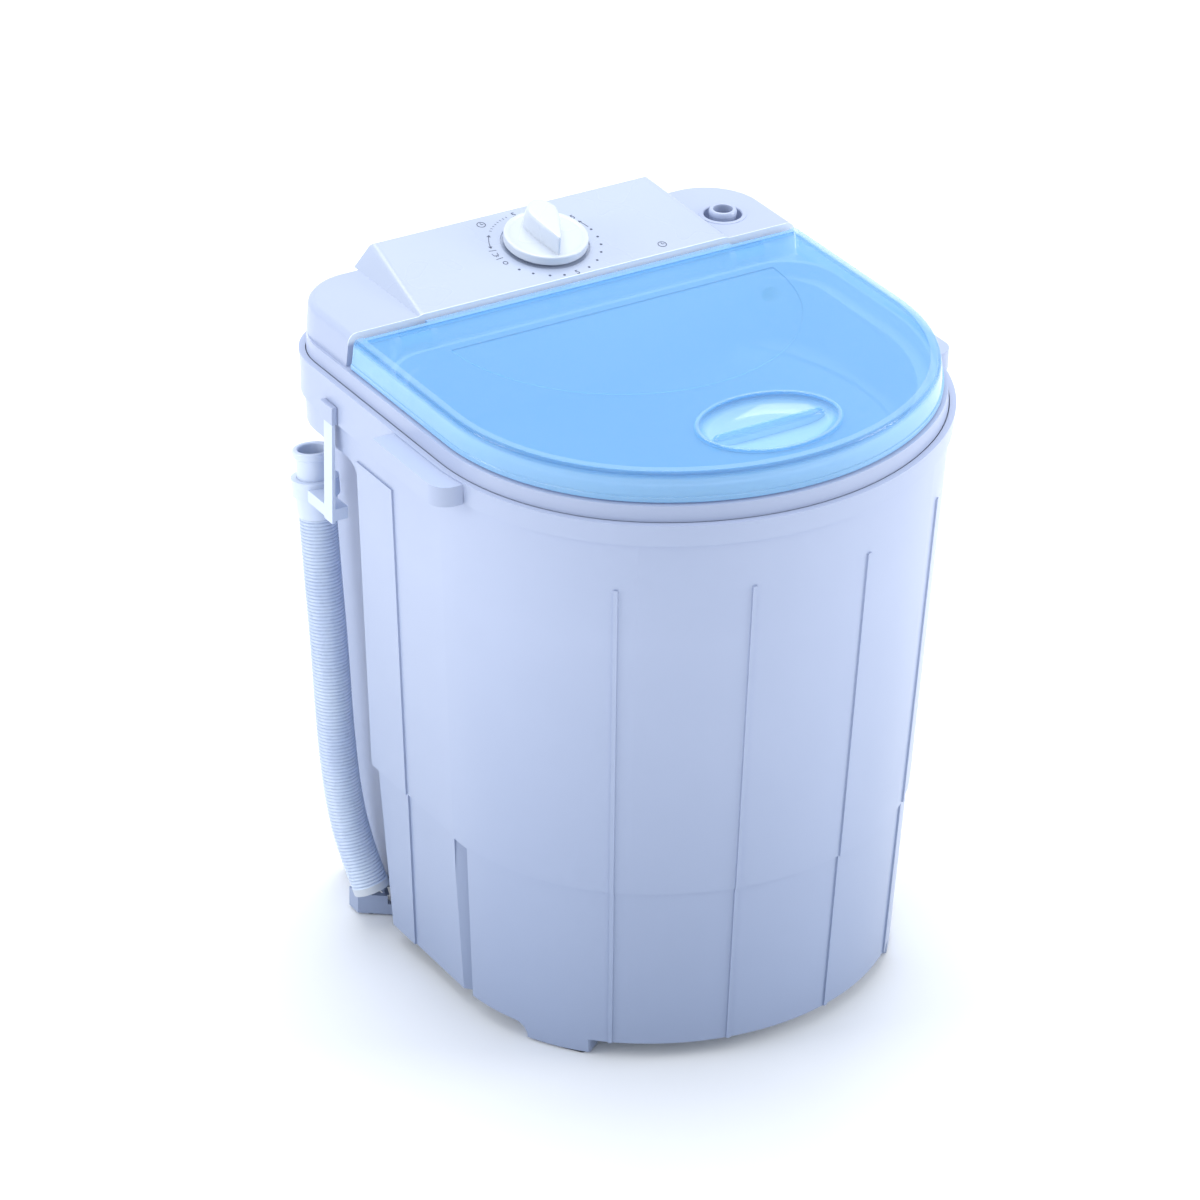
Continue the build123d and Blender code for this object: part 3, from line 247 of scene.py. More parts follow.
class Finish:
    def __init__(self, name):
        self.material = bpy.data.materials.new(name)
        self.material.use_nodes = True
        self.nodes = self.material.node_tree.nodes
        self.links = self.material.node_tree.links
        self.shader = self.nodes["Principled BSDF"]

    def add(self, kind, settings, values, output=0):
        node = self.nodes.new(kind)
        for key, value in settings.items():
            setattr(node, key, value)
        pairs = values.items() if isinstance(values, dict) else enumerate(values)
        for key, value in pairs:
            self.feed(node.inputs[key], value)
        return Socket(self, node.outputs[output])

    def feed(self, target, value):
        if isinstance(value, Socket):
            self.links.new(value.link, target)
        elif value is not None:
            if target.type == "RGBA" and len(value) == 3:
                value = (*value, 1.0)
            target.default_value = value

    def place(self, scale=(1, 1, 1)):
        spot = self.add("ShaderNodeTexCoord", {}, {}, "Object")
        if scale == (1, 1, 1):
            return spot
        return self.add("ShaderNodeMapping", {}, {"Vector": spot, "Scale": scale})

    def axis(self, number, spot=None):
        return self.add("ShaderNodeSeparateXYZ", {}, [spot or self.place()], number)

    def noise(self, scale, detail=3.0, roughness=0.5, spot=None):
        values = {"Vector": spot or self.place(), "Scale": scale, "Detail": detail, "Roughness": roughness}
        return self.add("ShaderNodeTexNoise", {}, values, "Fac")

    def range(self, value, low, high, start=0.3, end=0.7):
        values = {"Value": value, "From Min": start, "From Max": end, "To Min": low, "To Max": high}
        return self.add("ShaderNodeMapRange", {}, values)

    def mixed(self, factor, first, second):
        values = {0: factor, mixSockets["first"]: first, mixSockets["second"]: second}
        return self.add("ShaderNodeMix", {"data_type": "RGBA"}, values, mixSockets["result"])

    def bump(self, height, strength, distance=0.001):
        normal = self.add("ShaderNodeBump", {}, {"Height": height, "Strength": strength, "Distance": distance})
        self.feed(self.shader.inputs["Normal"], normal)

    def set(self, **values):
        for key, value in values.items():
            self.feed(self.shader.inputs[key.replace("_", " ")], value)
        return self


moulding = {"cloud": 9.0, "speck": 420.0, "speckShare": 0.6, "ripple": 90.0, "bump": (0.02, 0.0004),
            "sheen": 25.0, "sheenSpread": 0.02, "coatRoughness": 0.12, "ior": 1.48, "paintedShadeHeight": (0.02, 0.3),
            "paintedLightRear": (0.0972, 0.0978), "paintedLightFront": (0.0958, 0.0968), "paintedLightHeight": (0.406, 0.409)}


def mouldedPlastic(name, tone, shade, rough=0.34, coat=0.2, low=None, paintedCreviceLight=None):
    finish = Finish(name)
    across, height = finish.axis(1), finish.axis(2)
    cloud = finish.noise(moulding["cloud"], 2.0)
    colour = finish.mixed(finish.range(cloud, 0.0, 1.0), tone, shade)
    # Painted shade: a given low colour darkens the surface towards the bottom, standing in for the shade lower
    # down.
    if low:
        colour = finish.mixed(finish.range(height, 1.0, 0.0, *moulding["paintedShadeHeight"]), colour, low)
    # Painted light: a lighter strip on the deck's front wall and the panel's front face, where the narrow gap
    # under the lid's rear edge is shaded.
    if paintedCreviceLight:
        band = finish.range(across, 1.0, 0.0, *moulding["paintedLightRear"])
        band = band * finish.range(across, 0.0, 1.0, *moulding["paintedLightFront"])
        colour = finish.mixed(band * finish.range(height, 0.0, 1.0, *moulding["paintedLightHeight"]), colour, paintedCreviceLight)
    sheen, spread = finish.noise(moulding["sheen"], 1.0), moulding["sheenSpread"]
    finish.set(Base_Color=colour, Roughness=finish.range(sheen, rough - spread, rough + spread))
    finish.set(Coat_Weight=coat, Coat_Roughness=moulding["coatRoughness"], IOR=moulding["ior"])
    speck = finish.noise(moulding["speck"], 1.0) * moulding["speckShare"]
    ripple = finish.noise(moulding["ripple"], 1.0) * (1 - moulding["speckShare"])
    finish.bump(speck + ripple, *moulding["bump"])
    return finish.material


clearLook = {"blend": 0.35, "deep": (0.07, 0.44, 1.0), "deepShade": (0.1, 0.48, 1.0),
             "glancingPaintedReflection": (0.3, 0.68, 1.0), "skirtHeight": (0.4075, 0.4112), "borderHeight": (0.4121, 0.4125),
             "opacity": (0.2, 0.55, 0.2, 0.9),
             "skirtOpacity": 0.36, "borderOpacity": 0.1, "roughness": (0.06, 0.12), "coat": 0.6,
             "coatRoughness": 0.04, "ior": 1.5, "wave": 14.0, "bump": (0.12, 0.002)}


def clearLid(name, paintedLightTone):
    finish = Finish(name)
    facing = finish.add("ShaderNodeLayerWeight", {}, {"Blend": clearLook["blend"]}, "Facing")
    cloud = finish.range(finish.noise(7.0, 2.0), 0.0, 1.0)
    deep = finish.mixed(cloud, clearLook["deep"], clearLook["deepShade"])
    height = finish.axis(2)
    skirt = finish.range(height, 1.0, 0.0, *clearLook["skirtHeight"])
    border = finish.range(height, 0.0, 1.0, *clearLook["borderHeight"])
    # Painted reflection: the colour turns paler at glancing view angles.
    colour = finish.mixed(facing, deep, clearLook["glancingPaintedReflection"])
    # Painted light: the skirt and the top border band are mixed toward a paler tone, which lightens the shade
    # seen through the skirt and paints a light band along the border.
    colour = finish.mixed((skirt + border).clamped(), colour, paintedLightTone)
    opacity = finish.range(facing, *clearLook["opacity"])
    opacity = opacity + skirt * clearLook["skirtOpacity"] + border * clearLook["borderOpacity"]
    finish.set(Base_Color=colour, Alpha=opacity.clamped(), IOR=clearLook["ior"])
    finish.set(Roughness=finish.range(finish.noise(40.0), *clearLook["roughness"]))
    finish.set(Coat_Weight=clearLook["coat"], Coat_Roughness=clearLook["coatRoughness"])
    finish.bump(finish.noise(clearLook["wave"], 1.0), *clearLook["bump"])
    return finish.material


# The hose's V coordinate runs from 0 at a valley ring to 1 on a crest; the valley rings get a darker colour as
# painted shade.
milkyLook = {"tone": (0.66, 0.75, 0.9), "shade": (0.58, 0.67, 0.86), "groove": (0.36, 0.45, 0.68),
             "grooveShare": 0.35, "roughness": (0.24, 0.36), "coat": 0.3, "opacity": (0.82, 0.93), "ior": 1.45,
             "bump": (0.05, 0.0003)}


def milkyHose(name):
    finish = Finish(name)
    crest = finish.axis(1, finish.add("ShaderNodeUVMap", {}, {}))
    streak = finish.range(finish.noise(30.0, 2.0), 0.0, 1.0)
    colour = finish.mixed(streak, milkyLook["tone"], milkyLook["shade"])
    # Painted shade: the valley rings are mixed toward a darker colour.
    groove = finish.mixed(milkyLook["grooveShare"], colour, milkyLook["groove"])
    finish.set(Base_Color=finish.mixed(crest, groove, colour), Coat_Weight=milkyLook["coat"])
    finish.set(Roughness=finish.range(finish.noise(200.0), *milkyLook["roughness"]))
    finish.set(Alpha=finish.range(crest, *milkyLook["opacity"], 0.0, 1.0), IOR=milkyLook["ior"])
    finish.bump(finish.noise(700.0), *milkyLook["bump"])
    return finish.material


def metal(name, tone, shade, rough, grain=(1, 1, 1), metallic=1.0):
    finish = Finish(name)
    lines = finish.noise(260.0, 4.0, 0.6, finish.place(grain))
    cloud = finish.noise(25.0, 3.0)
    finish.set(Base_Color=finish.mixed(cloud, tone, shade), Metallic=metallic)
    finish.set(Roughness=finish.range(lines, rough - 0.08, rough + 0.1))
    finish.bump(lines, 0.08, 0.0003)
    return finish.material


def rubber(name, tone, shade):
    finish = Finish(name)
    dust = finish.noise(120.0, 4.0, 0.6)
    finish.set(Base_Color=finish.mixed(finish.range(dust, 0.0, 1.0), tone, shade))
    finish.set(Roughness=finish.range(finish.noise(300.0), 0.62, 0.82))
    finish.bump(finish.noise(1400.0, 2.0), 0.2, 0.0003)
    return finish.material


def printInk(name):
    finish = Finish(name)
    wear = finish.noise(1500.0, 3.0, 0.6)
    finish.set(Base_Color=finish.mixed(finish.range(wear, 0.0, 1.0), (0.045, 0.06, 0.12), (0.07, 0.09, 0.16)))
    finish.set(Roughness=finish.range(wear, 0.35, 0.5))
    return finish.material


# Painted shade colour for the lower body, mixed in by height.
paintedLowShade = (0.29, 0.35, 0.5)
finishes = {
    # The body and panel get painted light colours for the shaded strip under the lid's rear edge.
    "body_plastic": mouldedPlastic("bodyPlastic", (0.43, 0.49, 0.66), (0.45, 0.51, 0.68),
                                   low=paintedLowShade, paintedCreviceLight=(0.85, 0.92, 1.0)),
    "panel_plastic": mouldedPlastic("panelPlastic", (0.44, 0.5, 0.64), (0.46, 0.52, 0.66), 0.28, 0.3,
                                    paintedCreviceLight=(0.8, 0.88, 1.0)),
    "knob_plastic": mouldedPlastic("knobPlastic", (0.62, 0.67, 0.76), (0.65, 0.7, 0.78), 0.26, 0.4),
    # The tub plastic is lighter than the body plastic as painted light, brightening the interior under the lid.
    "tub_plastic": mouldedPlastic("tubPlasticPaintedLight", (0.66, 0.74, 0.92), (0.7, 0.78, 0.95), 0.3, 0.3),
    "inner_plastic": mouldedPlastic("innerPlastic", (0.5, 0.54, 0.6), (0.56, 0.6, 0.66), 0.5, 0.0),
    "lid_clear": clearLid("clearLid", (0.36, 0.68, 1.0)),
    "hose_plastic": milkyHose("milkyHose"),
    "feet_rubber": rubber("feetRubber", (0.02, 0.02, 0.024), (0.05, 0.05, 0.055)),
    "seal_rubber": rubber("sealRubber", (0.025, 0.025, 0.03), (0.055, 0.055, 0.06)),
    "belt_rubber": rubber("beltRubber", (0.015, 0.015, 0.015), (0.04, 0.04, 0.04)),
    "screw_steel": metal("screwSteel", (0.5, 0.51, 0.53), (0.6, 0.6, 0.61), 0.32),
    "bearing_steel": metal("bearingSteel", (0.42, 0.43, 0.45), (0.5, 0.5, 0.52), 0.25),
    "housing_alloy": metal("housingAlloy", (0.5, 0.51, 0.52), (0.58, 0.58, 0.6), 0.45),
    "motor_metal": metal("motorMetal", (0.05, 0.055, 0.06), (0.08, 0.085, 0.09), 0.5, metallic=0.0),
    "winding": metal("windingWire", (0.5, 0.2, 0.07), (0.6, 0.28, 0.12), 0.35, (1, 1, 60)),
}
inkMaterial = printInk("printInk")
# The base is a slightly darker tone than the body as painted shade, continuing the darkening of the lower body.
basePlastic = mouldedPlastic("basePlastic", (0.41, 0.47, 0.64), (0.43, 0.49, 0.66), low=paintedLowShade)
slotOf = {part["node"]: part["material_slot"] for part in frame["record"]["subparts"]}
for nodeName, nodeObject in frame["nodes"].items():
    for materialSlot in nodeObject.material_slots:
        materialSlot.material = basePlastic if nodeName == "base_skirt" else finishes[slotOf[nodeName]]
print("materials made")


hose = {"route": [(-149.5, 91.0, 27.0), (-154.5, 101.0, 51.0), (-158.5, 109.5, 86.0), (-160.0, 116.5, 134.0),
                  (-160.0, 123.0, 189.0), (-160.0, 131.5, 238.0), (-160.0, 136.5, 273.0)],
        "crest": 12.0, "valley": 11.15, "shoulder": 0.7, "pitch": 2.3, "perRing": 4, "around": 48,
        "length": 0.2516}


def hoseLine():
    curve = bpy.data.curves.new("hoseLine", "CURVE")
    curve.dimensions = "3D"
    curve.resolution_u = 24
    spline = curve.splines.new("NURBS")
    spline.points.add(len(hose["route"]) - 1)
    for point, spot in zip(spline.points, hose["route"]):
        point.co = (*(Vector(spot) * mm), 1.0)
    spline.order_u = 3
    spline.use_endpoint_u = True
    holder = bpy.data.objects.new("hoseLine", curve)
    bpy.context.scene.collection.objects.link(holder)
    bpy.context.view_layer.update()
    mesh = bpy.data.meshes.new_from_object(holder)
    points = [v.co.copy() for v in mesh.vertices]
    bpy.data.objects.remove(holder)
    bpy.data.meshes.remove(mesh)
    return points


def along(points, step):
    runs = [(b - a).length for a, b in zip(points, points[1:])]
    total = sum(runs)
    count = round(total / step)
    spots, index, passed = [], 0, 0.0
    for i in range(count + 1):
        want = total * i / count
        while index < len(runs) - 1 and passed + runs[index] < want:
            passed += runs[index]
            index += 1
        share = min(max((want - passed) / runs[index], 0.0), 1.0)
        spots.append(points[index].lerp(points[index + 1], share))
    return spots


def corrugatedHose(points):
    spots = along(points, hose["pitch"] * mm / hose["perRing"])
    shoulder = hose["crest"] * hose["shoulder"] + hose["valley"] * (1 - hose["shoulder"])
    levels = [hose["crest"], shoulder, hose["valley"], shoulder]
    around = hose["around"]
    verts, faces, heights = [], [], []
    side = Vector((1, 0, 0))
    for i, spot in enumerate(spots):
        way = (spots[min(i + 1, len(spots) - 1)] - spots[max(i - 1, 0)]).normalized()
        side = (side - way * side.dot(way)).normalized()
        other = way.cross(side)
        radius = levels[i % len(levels)] * mm
        for j in range(around):
            angle = 2 * math.pi * j / around
            verts.append(spot + radius * (math.cos(angle) * side + math.sin(angle) * other))
            heights.append((radius / mm - hose["valley"]) / (hose["crest"] - hose["valley"]))
    rows = len(spots)
    for i in range(rows - 1):
        for j in range(around):
            k = (j + 1) % around
            faces.append((i * around + j, i * around + k, (i + 1) * around + k, (i + 1) * around + j))
    faces.append(tuple(reversed(range(around))))
    faces.append(tuple(range((rows - 1) * around, rows * around)))
    mesh = bpy.data.meshes.new("hoseTube")
    mesh.from_pydata(verts, [], faces)
    layer = mesh.uv_layers.new(name="UVMap")
    for loop in mesh.loops:
        layer.data[loop.index].uv = (loop.vertex_index % around / around, heights[loop.vertex_index])
    piece = bpy.data.objects.new("hoseTube", mesh)
    bpy.context.scene.collection.objects.link(piece)
    smooth(piece, 60)
    return piece


hosePoints = hoseLine()
hoseTube = corrugatedHose(hosePoints)
hoseEnd = hosePoints[-1]
hoseWay = (hosePoints[-1] - hosePoints[-2]).normalized()
print("hose made")

cuff = {"bevel": 0.4, "profile": [(9.4, 3.0), (12.05, 0.0), (12.9, 5.0), (13.0, 13.2), (12.6, 14.2),
                                  (11.1, 15.0), (10.95, 27.0), (10.95, 38.4), (12.4, 39.2), (13.0, 40.2),
                                  (13.0, 42.8), (12.5, 43.8), (10.2, 44.0), (9.3, 43.2), (9.1, 30.0),
                                  (9.1, 4.0), (9.4, 3.0)]}


def onHoseEnd():
    turn = hoseWay.to_track_quat("Z", "Y").to_matrix().to_4x4()
    return Matrix.Translation(hoseEnd) @ turn


hoseCuff = turnedPiece("hoseCuff", [(r * mm, z * mm) for r, z in cuff["profile"]])
soften(hoseCuff, cuff["bevel"] * mm, 2, 25)
smooth(hoseCuff, 40)
place(hoseCuff, onHoseEnd())
dress(hoseTube, "root", "hose_plastic", finishes["hose_plastic"], "drain_hose")
cuffPlastic = mouldedPlastic("cuffPlastic", (0.62, 0.7, 0.86), (0.66, 0.73, 0.88), 0.3, 0.3)
dress(hoseCuff, "root", "hose_plastic", cuffPlastic, "hose_cuff")
print("cuff made")


studio = {"floorSize": 14.0, "worldTone": (0.86, 0.92, 1.0), "worldPower": 0.86, "aim": (0.0, 0.0, 0.25),
          "lamps": [("topLamp", (0.4, 0.9, 3.0), 2.2, 60.0), ("leftLamp", (-2.8, 1.0, 1.2), 1.4, 30.0),
                    ("rightLamp", (2.7, -1.5, 1.3), 1.3, 38.0)]}


def addStudio():
    clearSelection()
    bpy.ops.mesh.primitive_plane_add(size=studio["floorSize"], location=(0, 0, 0))
    floor = newPiece("studioFloor")
    paper = Finish("floorPaper")
    paper.set(Base_Color=paper.mixed(paper.noise(3.0), (0.93, 0.94, 0.96), (0.95, 0.96, 0.98)), Roughness=0.8)
    floor.data.materials.append(paper.material)
    world = bpy.data.worlds.new("studioSky")
    bpy.context.scene.world = world
    world.use_nodes = True
    sky = world.node_tree.nodes["Background"]
    sky.inputs["Color"].default_value = (*studio["worldTone"], 1.0)
    sky.inputs["Strength"].default_value = studio["worldPower"]
    for name, spot, size, power in studio["lamps"]:
        data = bpy.data.lights.new(name, "AREA")
        data.size, data.energy = size, power
        lamp = bpy.data.objects.new(name, data)
        bpy.context.scene.collection.objects.link(lamp)
        lamp.location = spot
        lamp.rotation_mode = "QUATERNION"
        lamp.rotation_quaternion = (Vector(spot) - Vector(studio["aim"])).to_track_quat("Z", "Y")
    bpy.context.scene.view_settings.view_transform = "Standard"


addStudio()
print("studio set")


topFrame = {"bevel": 0.9, "smooth": 30}


def roundedCopy(pieceName, nodeName, slotName, material, size):
    piece = nodeCopy(nodeName, pieceName)
    soften(piece, size["bevel"] * mm, 2)
    smooth(piece, size["smooth"])
    return dress(piece, "root", slotName, material, nodeName)


roundedCopy("topFrame", "top_frame", "body_plastic", finishes["body_plastic"], topFrame)
print("top frame made")


lid = {"foot": 394.0, "side": 8.0, "rear": 104.8, "rearSpare": 14.0, "wall": 2.3, "rise": 3.0, "bevel": 0.35,
       "steps": [(0.8, 0.3), (0.7, 6.2), (0.4, 4.4), (0.5, 2.6), (0.7, 1.2), (0.9, 0.7), (1.3, 0.2)],
       "band": 3.2, "ledge": (0.8, -0.7), "arcRadius": 115.0, "arcY": 67.0, "arcRear": 66.0, "arcDepth": 0.9,
       "arcOver": 2.0, "pull": (0.0, -104.0), "pullSize": (93.0, 70.0), "pullHole": -0.6, "cutDepth": 8.0}
plan = {"half": 170.0, "front": 185.0, "reach": 164.0, "shoulder": 150.0, "shift": -13.0}


def dOutline(inset, rearY, steps=(40, 44)):
    fy = plan["front"] - plan["reach"]
    sx = plan["half"] - plan["shoulder"]
    span = plan["front"] - plan["shoulder"]
    sy = fy - math.sqrt(span ** 2 - sx ** 2)
    lean = math.atan2(sx, fy - sy)
    rf, rs = plan["front"] - inset, plan["shoulder"] - inset
    turn = math.pi / 2 - lean
    frontAngles = [-lean + 2 * lean * i / steps[0] for i in range(steps[0] + 1)]
    rightAngles = [lean + turn * i / steps[1] for i in range(1, steps[1] + 1)]
    front = [(rf * math.sin(a), fy - rf * math.cos(a)) for a in frontAngles]
    right = [(sx + rs * math.sin(a), sy - rs * math.cos(a)) for a in rightAngles]
    left = [(-x, y) for x, y in reversed(right)]
    half = plan["half"] - inset
    return left + front + right + [(half, rearY), (-half, rearY)]


def flatPlate(name, points, z):
    curve = bpy.data.curves.new(name, "CURVE")
    curve.dimensions = "2D"
    curve.fill_mode = "NONE"
    spline = curve.splines.new("POLY")
    spline.points.add(len(points) - 1)
    for point, (x, y) in zip(spline.points, points):
        point.co = (x * mm, (y + plan["shift"]) * mm, 0, 1)
    spline.use_cyclic_u = True
    piece = bpy.data.objects.new(name, curve)
    bpy.context.scene.collection.objects.link(piece)
    activate(piece)
    bpy.ops.object.convert(target="MESH")
    piece = newPiece(name)
    bpy.ops.object.mode_set(mode="EDIT")
    bpy.ops.mesh.select_all(action="SELECT")
    bpy.ops.mesh.edge_face_add()
    bpy.ops.transform.translate(value=(0, 0, z * mm))
    bpy.ops.object.mode_set(mode="OBJECT")
    if piece.data.polygons[0].normal.z < 0:
        bpy.ops.object.mode_set(mode="EDIT")
        bpy.ops.mesh.flip_normals()
        bpy.ops.object.mode_set(mode="OBJECT")
    return piece


def cutWith(piece, tool, operation="DIFFERENCE"):
    applyModifier(piece, "BOOLEAN", operation=operation, object=tool, solver="EXACT")
    bpy.data.objects.remove(tool)


def halfDisc(low, high):
    middle = (lid["arcY"] + plan["shift"]) * mm
    disc = tube("halfDisc", lid["arcRadius"] * mm, low * mm, high * mm, 0, middle, 128)
    activate(disc)
    bpy.ops.object.mode_set(mode="EDIT")
    bpy.ops.mesh.select_all(action="SELECT")
    bpy.ops.mesh.bisect(plane_co=(0, (lid["arcRear"] + plan["shift"]) * mm, 0), plane_no=(0, 1, 0),
                        use_fill=True, clear_outer=True)
    bpy.ops.object.mode_set(mode="OBJECT")
    return disc


def oval(name, grow, low, high, sides=96):
    clearSelection()
    x, y = lid["pull"]
    spot = (x * mm, (y + plan["shift"]) * mm, (low + high) / 2 * mm)
    bpy.ops.mesh.primitive_cylinder_add(vertices=sides, radius=1, depth=(high - low) * mm, location=spot)
    piece = newPiece(name)
    piece.scale = ((lid["pullSize"][0] / 2 + grow) * mm, (lid["pullSize"][1] / 2 + grow) * mm, 1)
    settle(piece)
    return piece


def makeLid():
    shell = flatPlate("lidShell", dOutline(lid["side"], lid["rear"] + lid["rearSpare"]), lid["foot"])
    bpy.ops.object.mode_set(mode="EDIT")
    bpy.ops.mesh.select_all(action="SELECT")
    bpy.ops.mesh.extrude_region_move(TRANSFORM_OT_translate={"value": (0, 0, lid["rise"] * mm)})
    for thickness, depth in lid["steps"]:
        bpy.ops.mesh.inset(thickness=thickness * mm, depth=depth * mm)
    bpy.ops.mesh.inset(thickness=lid["band"] * mm, depth=0)
    bpy.ops.mesh.inset(thickness=lid["ledge"][0] * mm, depth=lid["ledge"][1] * mm)
    bpy.ops.mesh.select_all(action="SELECT")
    rear = (lid["rear"] + plan["shift"]) * mm
    bpy.ops.mesh.bisect(plane_co=(0, rear, 0), plane_no=(0, 1, 0), clear_outer=True)
    bpy.ops.object.mode_set(mode="OBJECT")
    pick(shell, "FACE", facesDown)
    bpy.ops.mesh.delete(type="FACE")
    bpy.ops.object.mode_set(mode="OBJECT")
    applyModifier(shell, "SOLIDIFY", thickness=lid["wall"] * mm, offset=-1.0, use_even_offset=True)
    top = lid["foot"] + lid["rise"] + sum(d for _, d in lid["steps"]) + lid["ledge"][1]
    cutWith(shell, halfDisc(top - lid["arcDepth"], top + lid["arcOver"]))
    cutWith(shell, oval("pullHole", lid["pullHole"], top - lid["cutDepth"], top + lid["cutDepth"]))
    return shell, top


lidShell, lidTop = makeLid()
soften(lidShell, lid["bevel"] * mm, 2, 28)
smooth(lidShell, 28)
print("lid shell made", len(lidShell.data.polygons), lidTop)

pull = {"rings": [(0.9, 0.55), (1.0, 0.15), (1.3, -0.5), (1.6, -1.7), (2.2, -2.2), (3.2, -1.9), (4.4, -1.3),
                  (6.0, -0.7), (6.5, -0.25)],
        "wall": 1.6, "grow": 0.4, "blank": 1.2, "finHalf": 41.5, "finWide": 9.0, "finTop": 411.3,
        "finLow": 402.4, "finTaper": (0.9, 0.45, 1.0), "finRound": 2.6}


def makePull():
    dish = oval("lidDish", pull["grow"], lidTop - pull["blank"], lidTop)
    pick(dish, "FACE", facesDown)
    bpy.ops.mesh.delete(type="FACE")
    bpy.ops.object.mode_set(mode="OBJECT")
    pick(dish, "FACE", facesUp)
    for thickness, depth in pull["rings"]:
        bpy.ops.mesh.inset(thickness=thickness * mm, depth=depth * mm)
    bpy.ops.object.mode_set(mode="OBJECT")
    applyModifier(dish, "SOLIDIFY", thickness=pull["wall"] * mm, offset=-1.0, use_even_offset=True)
    smooth(dish, 50)
    x, y = lid["pull"]
    clearSelection()
    bpy.ops.mesh.primitive_cube_add(size=1, location=(x * mm, (y + plan["shift"]) * mm,
                                                      (pull["finTop"] + pull["finLow"]) / 2 * mm))
    fin = newPiece("lidFin")
    fin.scale = (2 * pull["finHalf"] * mm, pull["finWide"] * mm, (pull["finTop"] - pull["finLow"]) * mm)
    settle(fin)
    pick(fin, "FACE", facesUp)
    bpy.ops.transform.resize(value=pull["finTaper"])
    bpy.ops.mesh.select_all(action="SELECT")
    bpy.ops.mesh.bevel(offset=pull["finRound"] * mm, segments=5, affect="EDGES")
    bpy.ops.object.mode_set(mode="OBJECT")
    smooth(fin, 60)
    return dish, fin


lidDish, lidFin = makePull()
knuckles = {"x": 120.0, "half": 10.0, "y": 101.0, "z": 406.0, "radius": 4.0, "bore": 1.62, "bevel": 0.4}
tongue = {"front": 87.2, "half": 153.5}


def levelRod(name, radius, half, x, sides):
    clearSelection()
    spot = (x * mm, (knuckles["y"] + plan["shift"]) * mm, knuckles["z"] * mm)
    bpy.ops.mesh.primitive_cylinder_add(vertices=sides, radius=radius * mm, depth=2 * half * mm, location=spot,
                                        rotation=(0, math.pi / 2, 0))
    rod = newPiece(name)
    settle(rod)
    return rod


def makeTongue():
    strip = nodeCopy("lid_shell", "lidTongue")
    half = tongue["half"] * mm
    sides = (((0, tongue["front"] * mm, 0), (0, -1, 0)), ((half, 0, 0), (1, 0, 0)), ((-half, 0, 0), (-1, 0, 0)))
    bpy.ops.object.mode_set(mode="EDIT")
    for spot, way in sides:
        bpy.ops.mesh.select_all(action="SELECT")
        bpy.ops.mesh.bisect(plane_co=spot, plane_no=way, clear_outer=True, use_fill=True)
    bpy.ops.object.mode_set(mode="OBJECT")
    smooth(strip, 30)
    return strip


def makeKnuckles():
    barrel = levelRod("lidKnuckle", knuckles["radius"], knuckles["half"], -knuckles["x"], 40)
    cutWith(barrel, levelRod("knuckleHole", knuckles["bore"], 2 * knuckles["half"], -knuckles["x"], 32))
    soften(barrel, knuckles["bevel"] * mm, 2)
    twin = copied(barrel, "lidKnuckle", Matrix.Translation((2 * knuckles["x"] * mm, 0, 0)))
    barrels = joined([barrel, twin], "lidKnuckles")
    smooth(barrels, 40)
    return barrels


lidTongue, lidKnuckles = makeTongue(), makeKnuckles()
dress(lidShell, "lid", "lid_clear", finishes["lid_clear"], "lid_shell")
for piece in (lidTongue, lidKnuckles):
    dress(piece, "lid", "lid_clear", finishes["lid_clear"])
# The pull uses a paler tone than the lid as painted light, lightening the shaded dish.
pullClear = clearLid("pullClear", (0.42, 0.73, 1.0))
for piece in (lidDish, lidFin):
    dress(piece, "lid", "lid_clear", pullClear)
print("lid made")


panel = {"front": 110.0, "rear": 189.0, "foot": 111.5, "topFront": 110.6, "topRear": 98.8, "low": 414.0,
         "frontHigh": 1.0, "rearHigh": 14.0, "round": 3.2, "recess": 27.9, "recessDepth": 0.9, "knobY": 147.0,
         "blank": 6.0, "footTop": 414.5, "cutHigh": 20.0, "bevel": 0.3}
slope = math.atan2(panel["rearHigh"] - panel["frontHigh"], panel["rear"] - panel["front"])


def onPanel():
    share = (panel["knobY"] - panel["front"]) / (panel["rear"] - panel["front"])
    z = panel["low"] + panel["frontHigh"] + (panel["rearHigh"] - panel["frontHigh"]) * share
    spot = Vector((0, panel["knobY"] + plan["shift"], z)) * mm
    return Matrix.Translation(spot) @ Matrix.Rotation(slope, 4, "X")


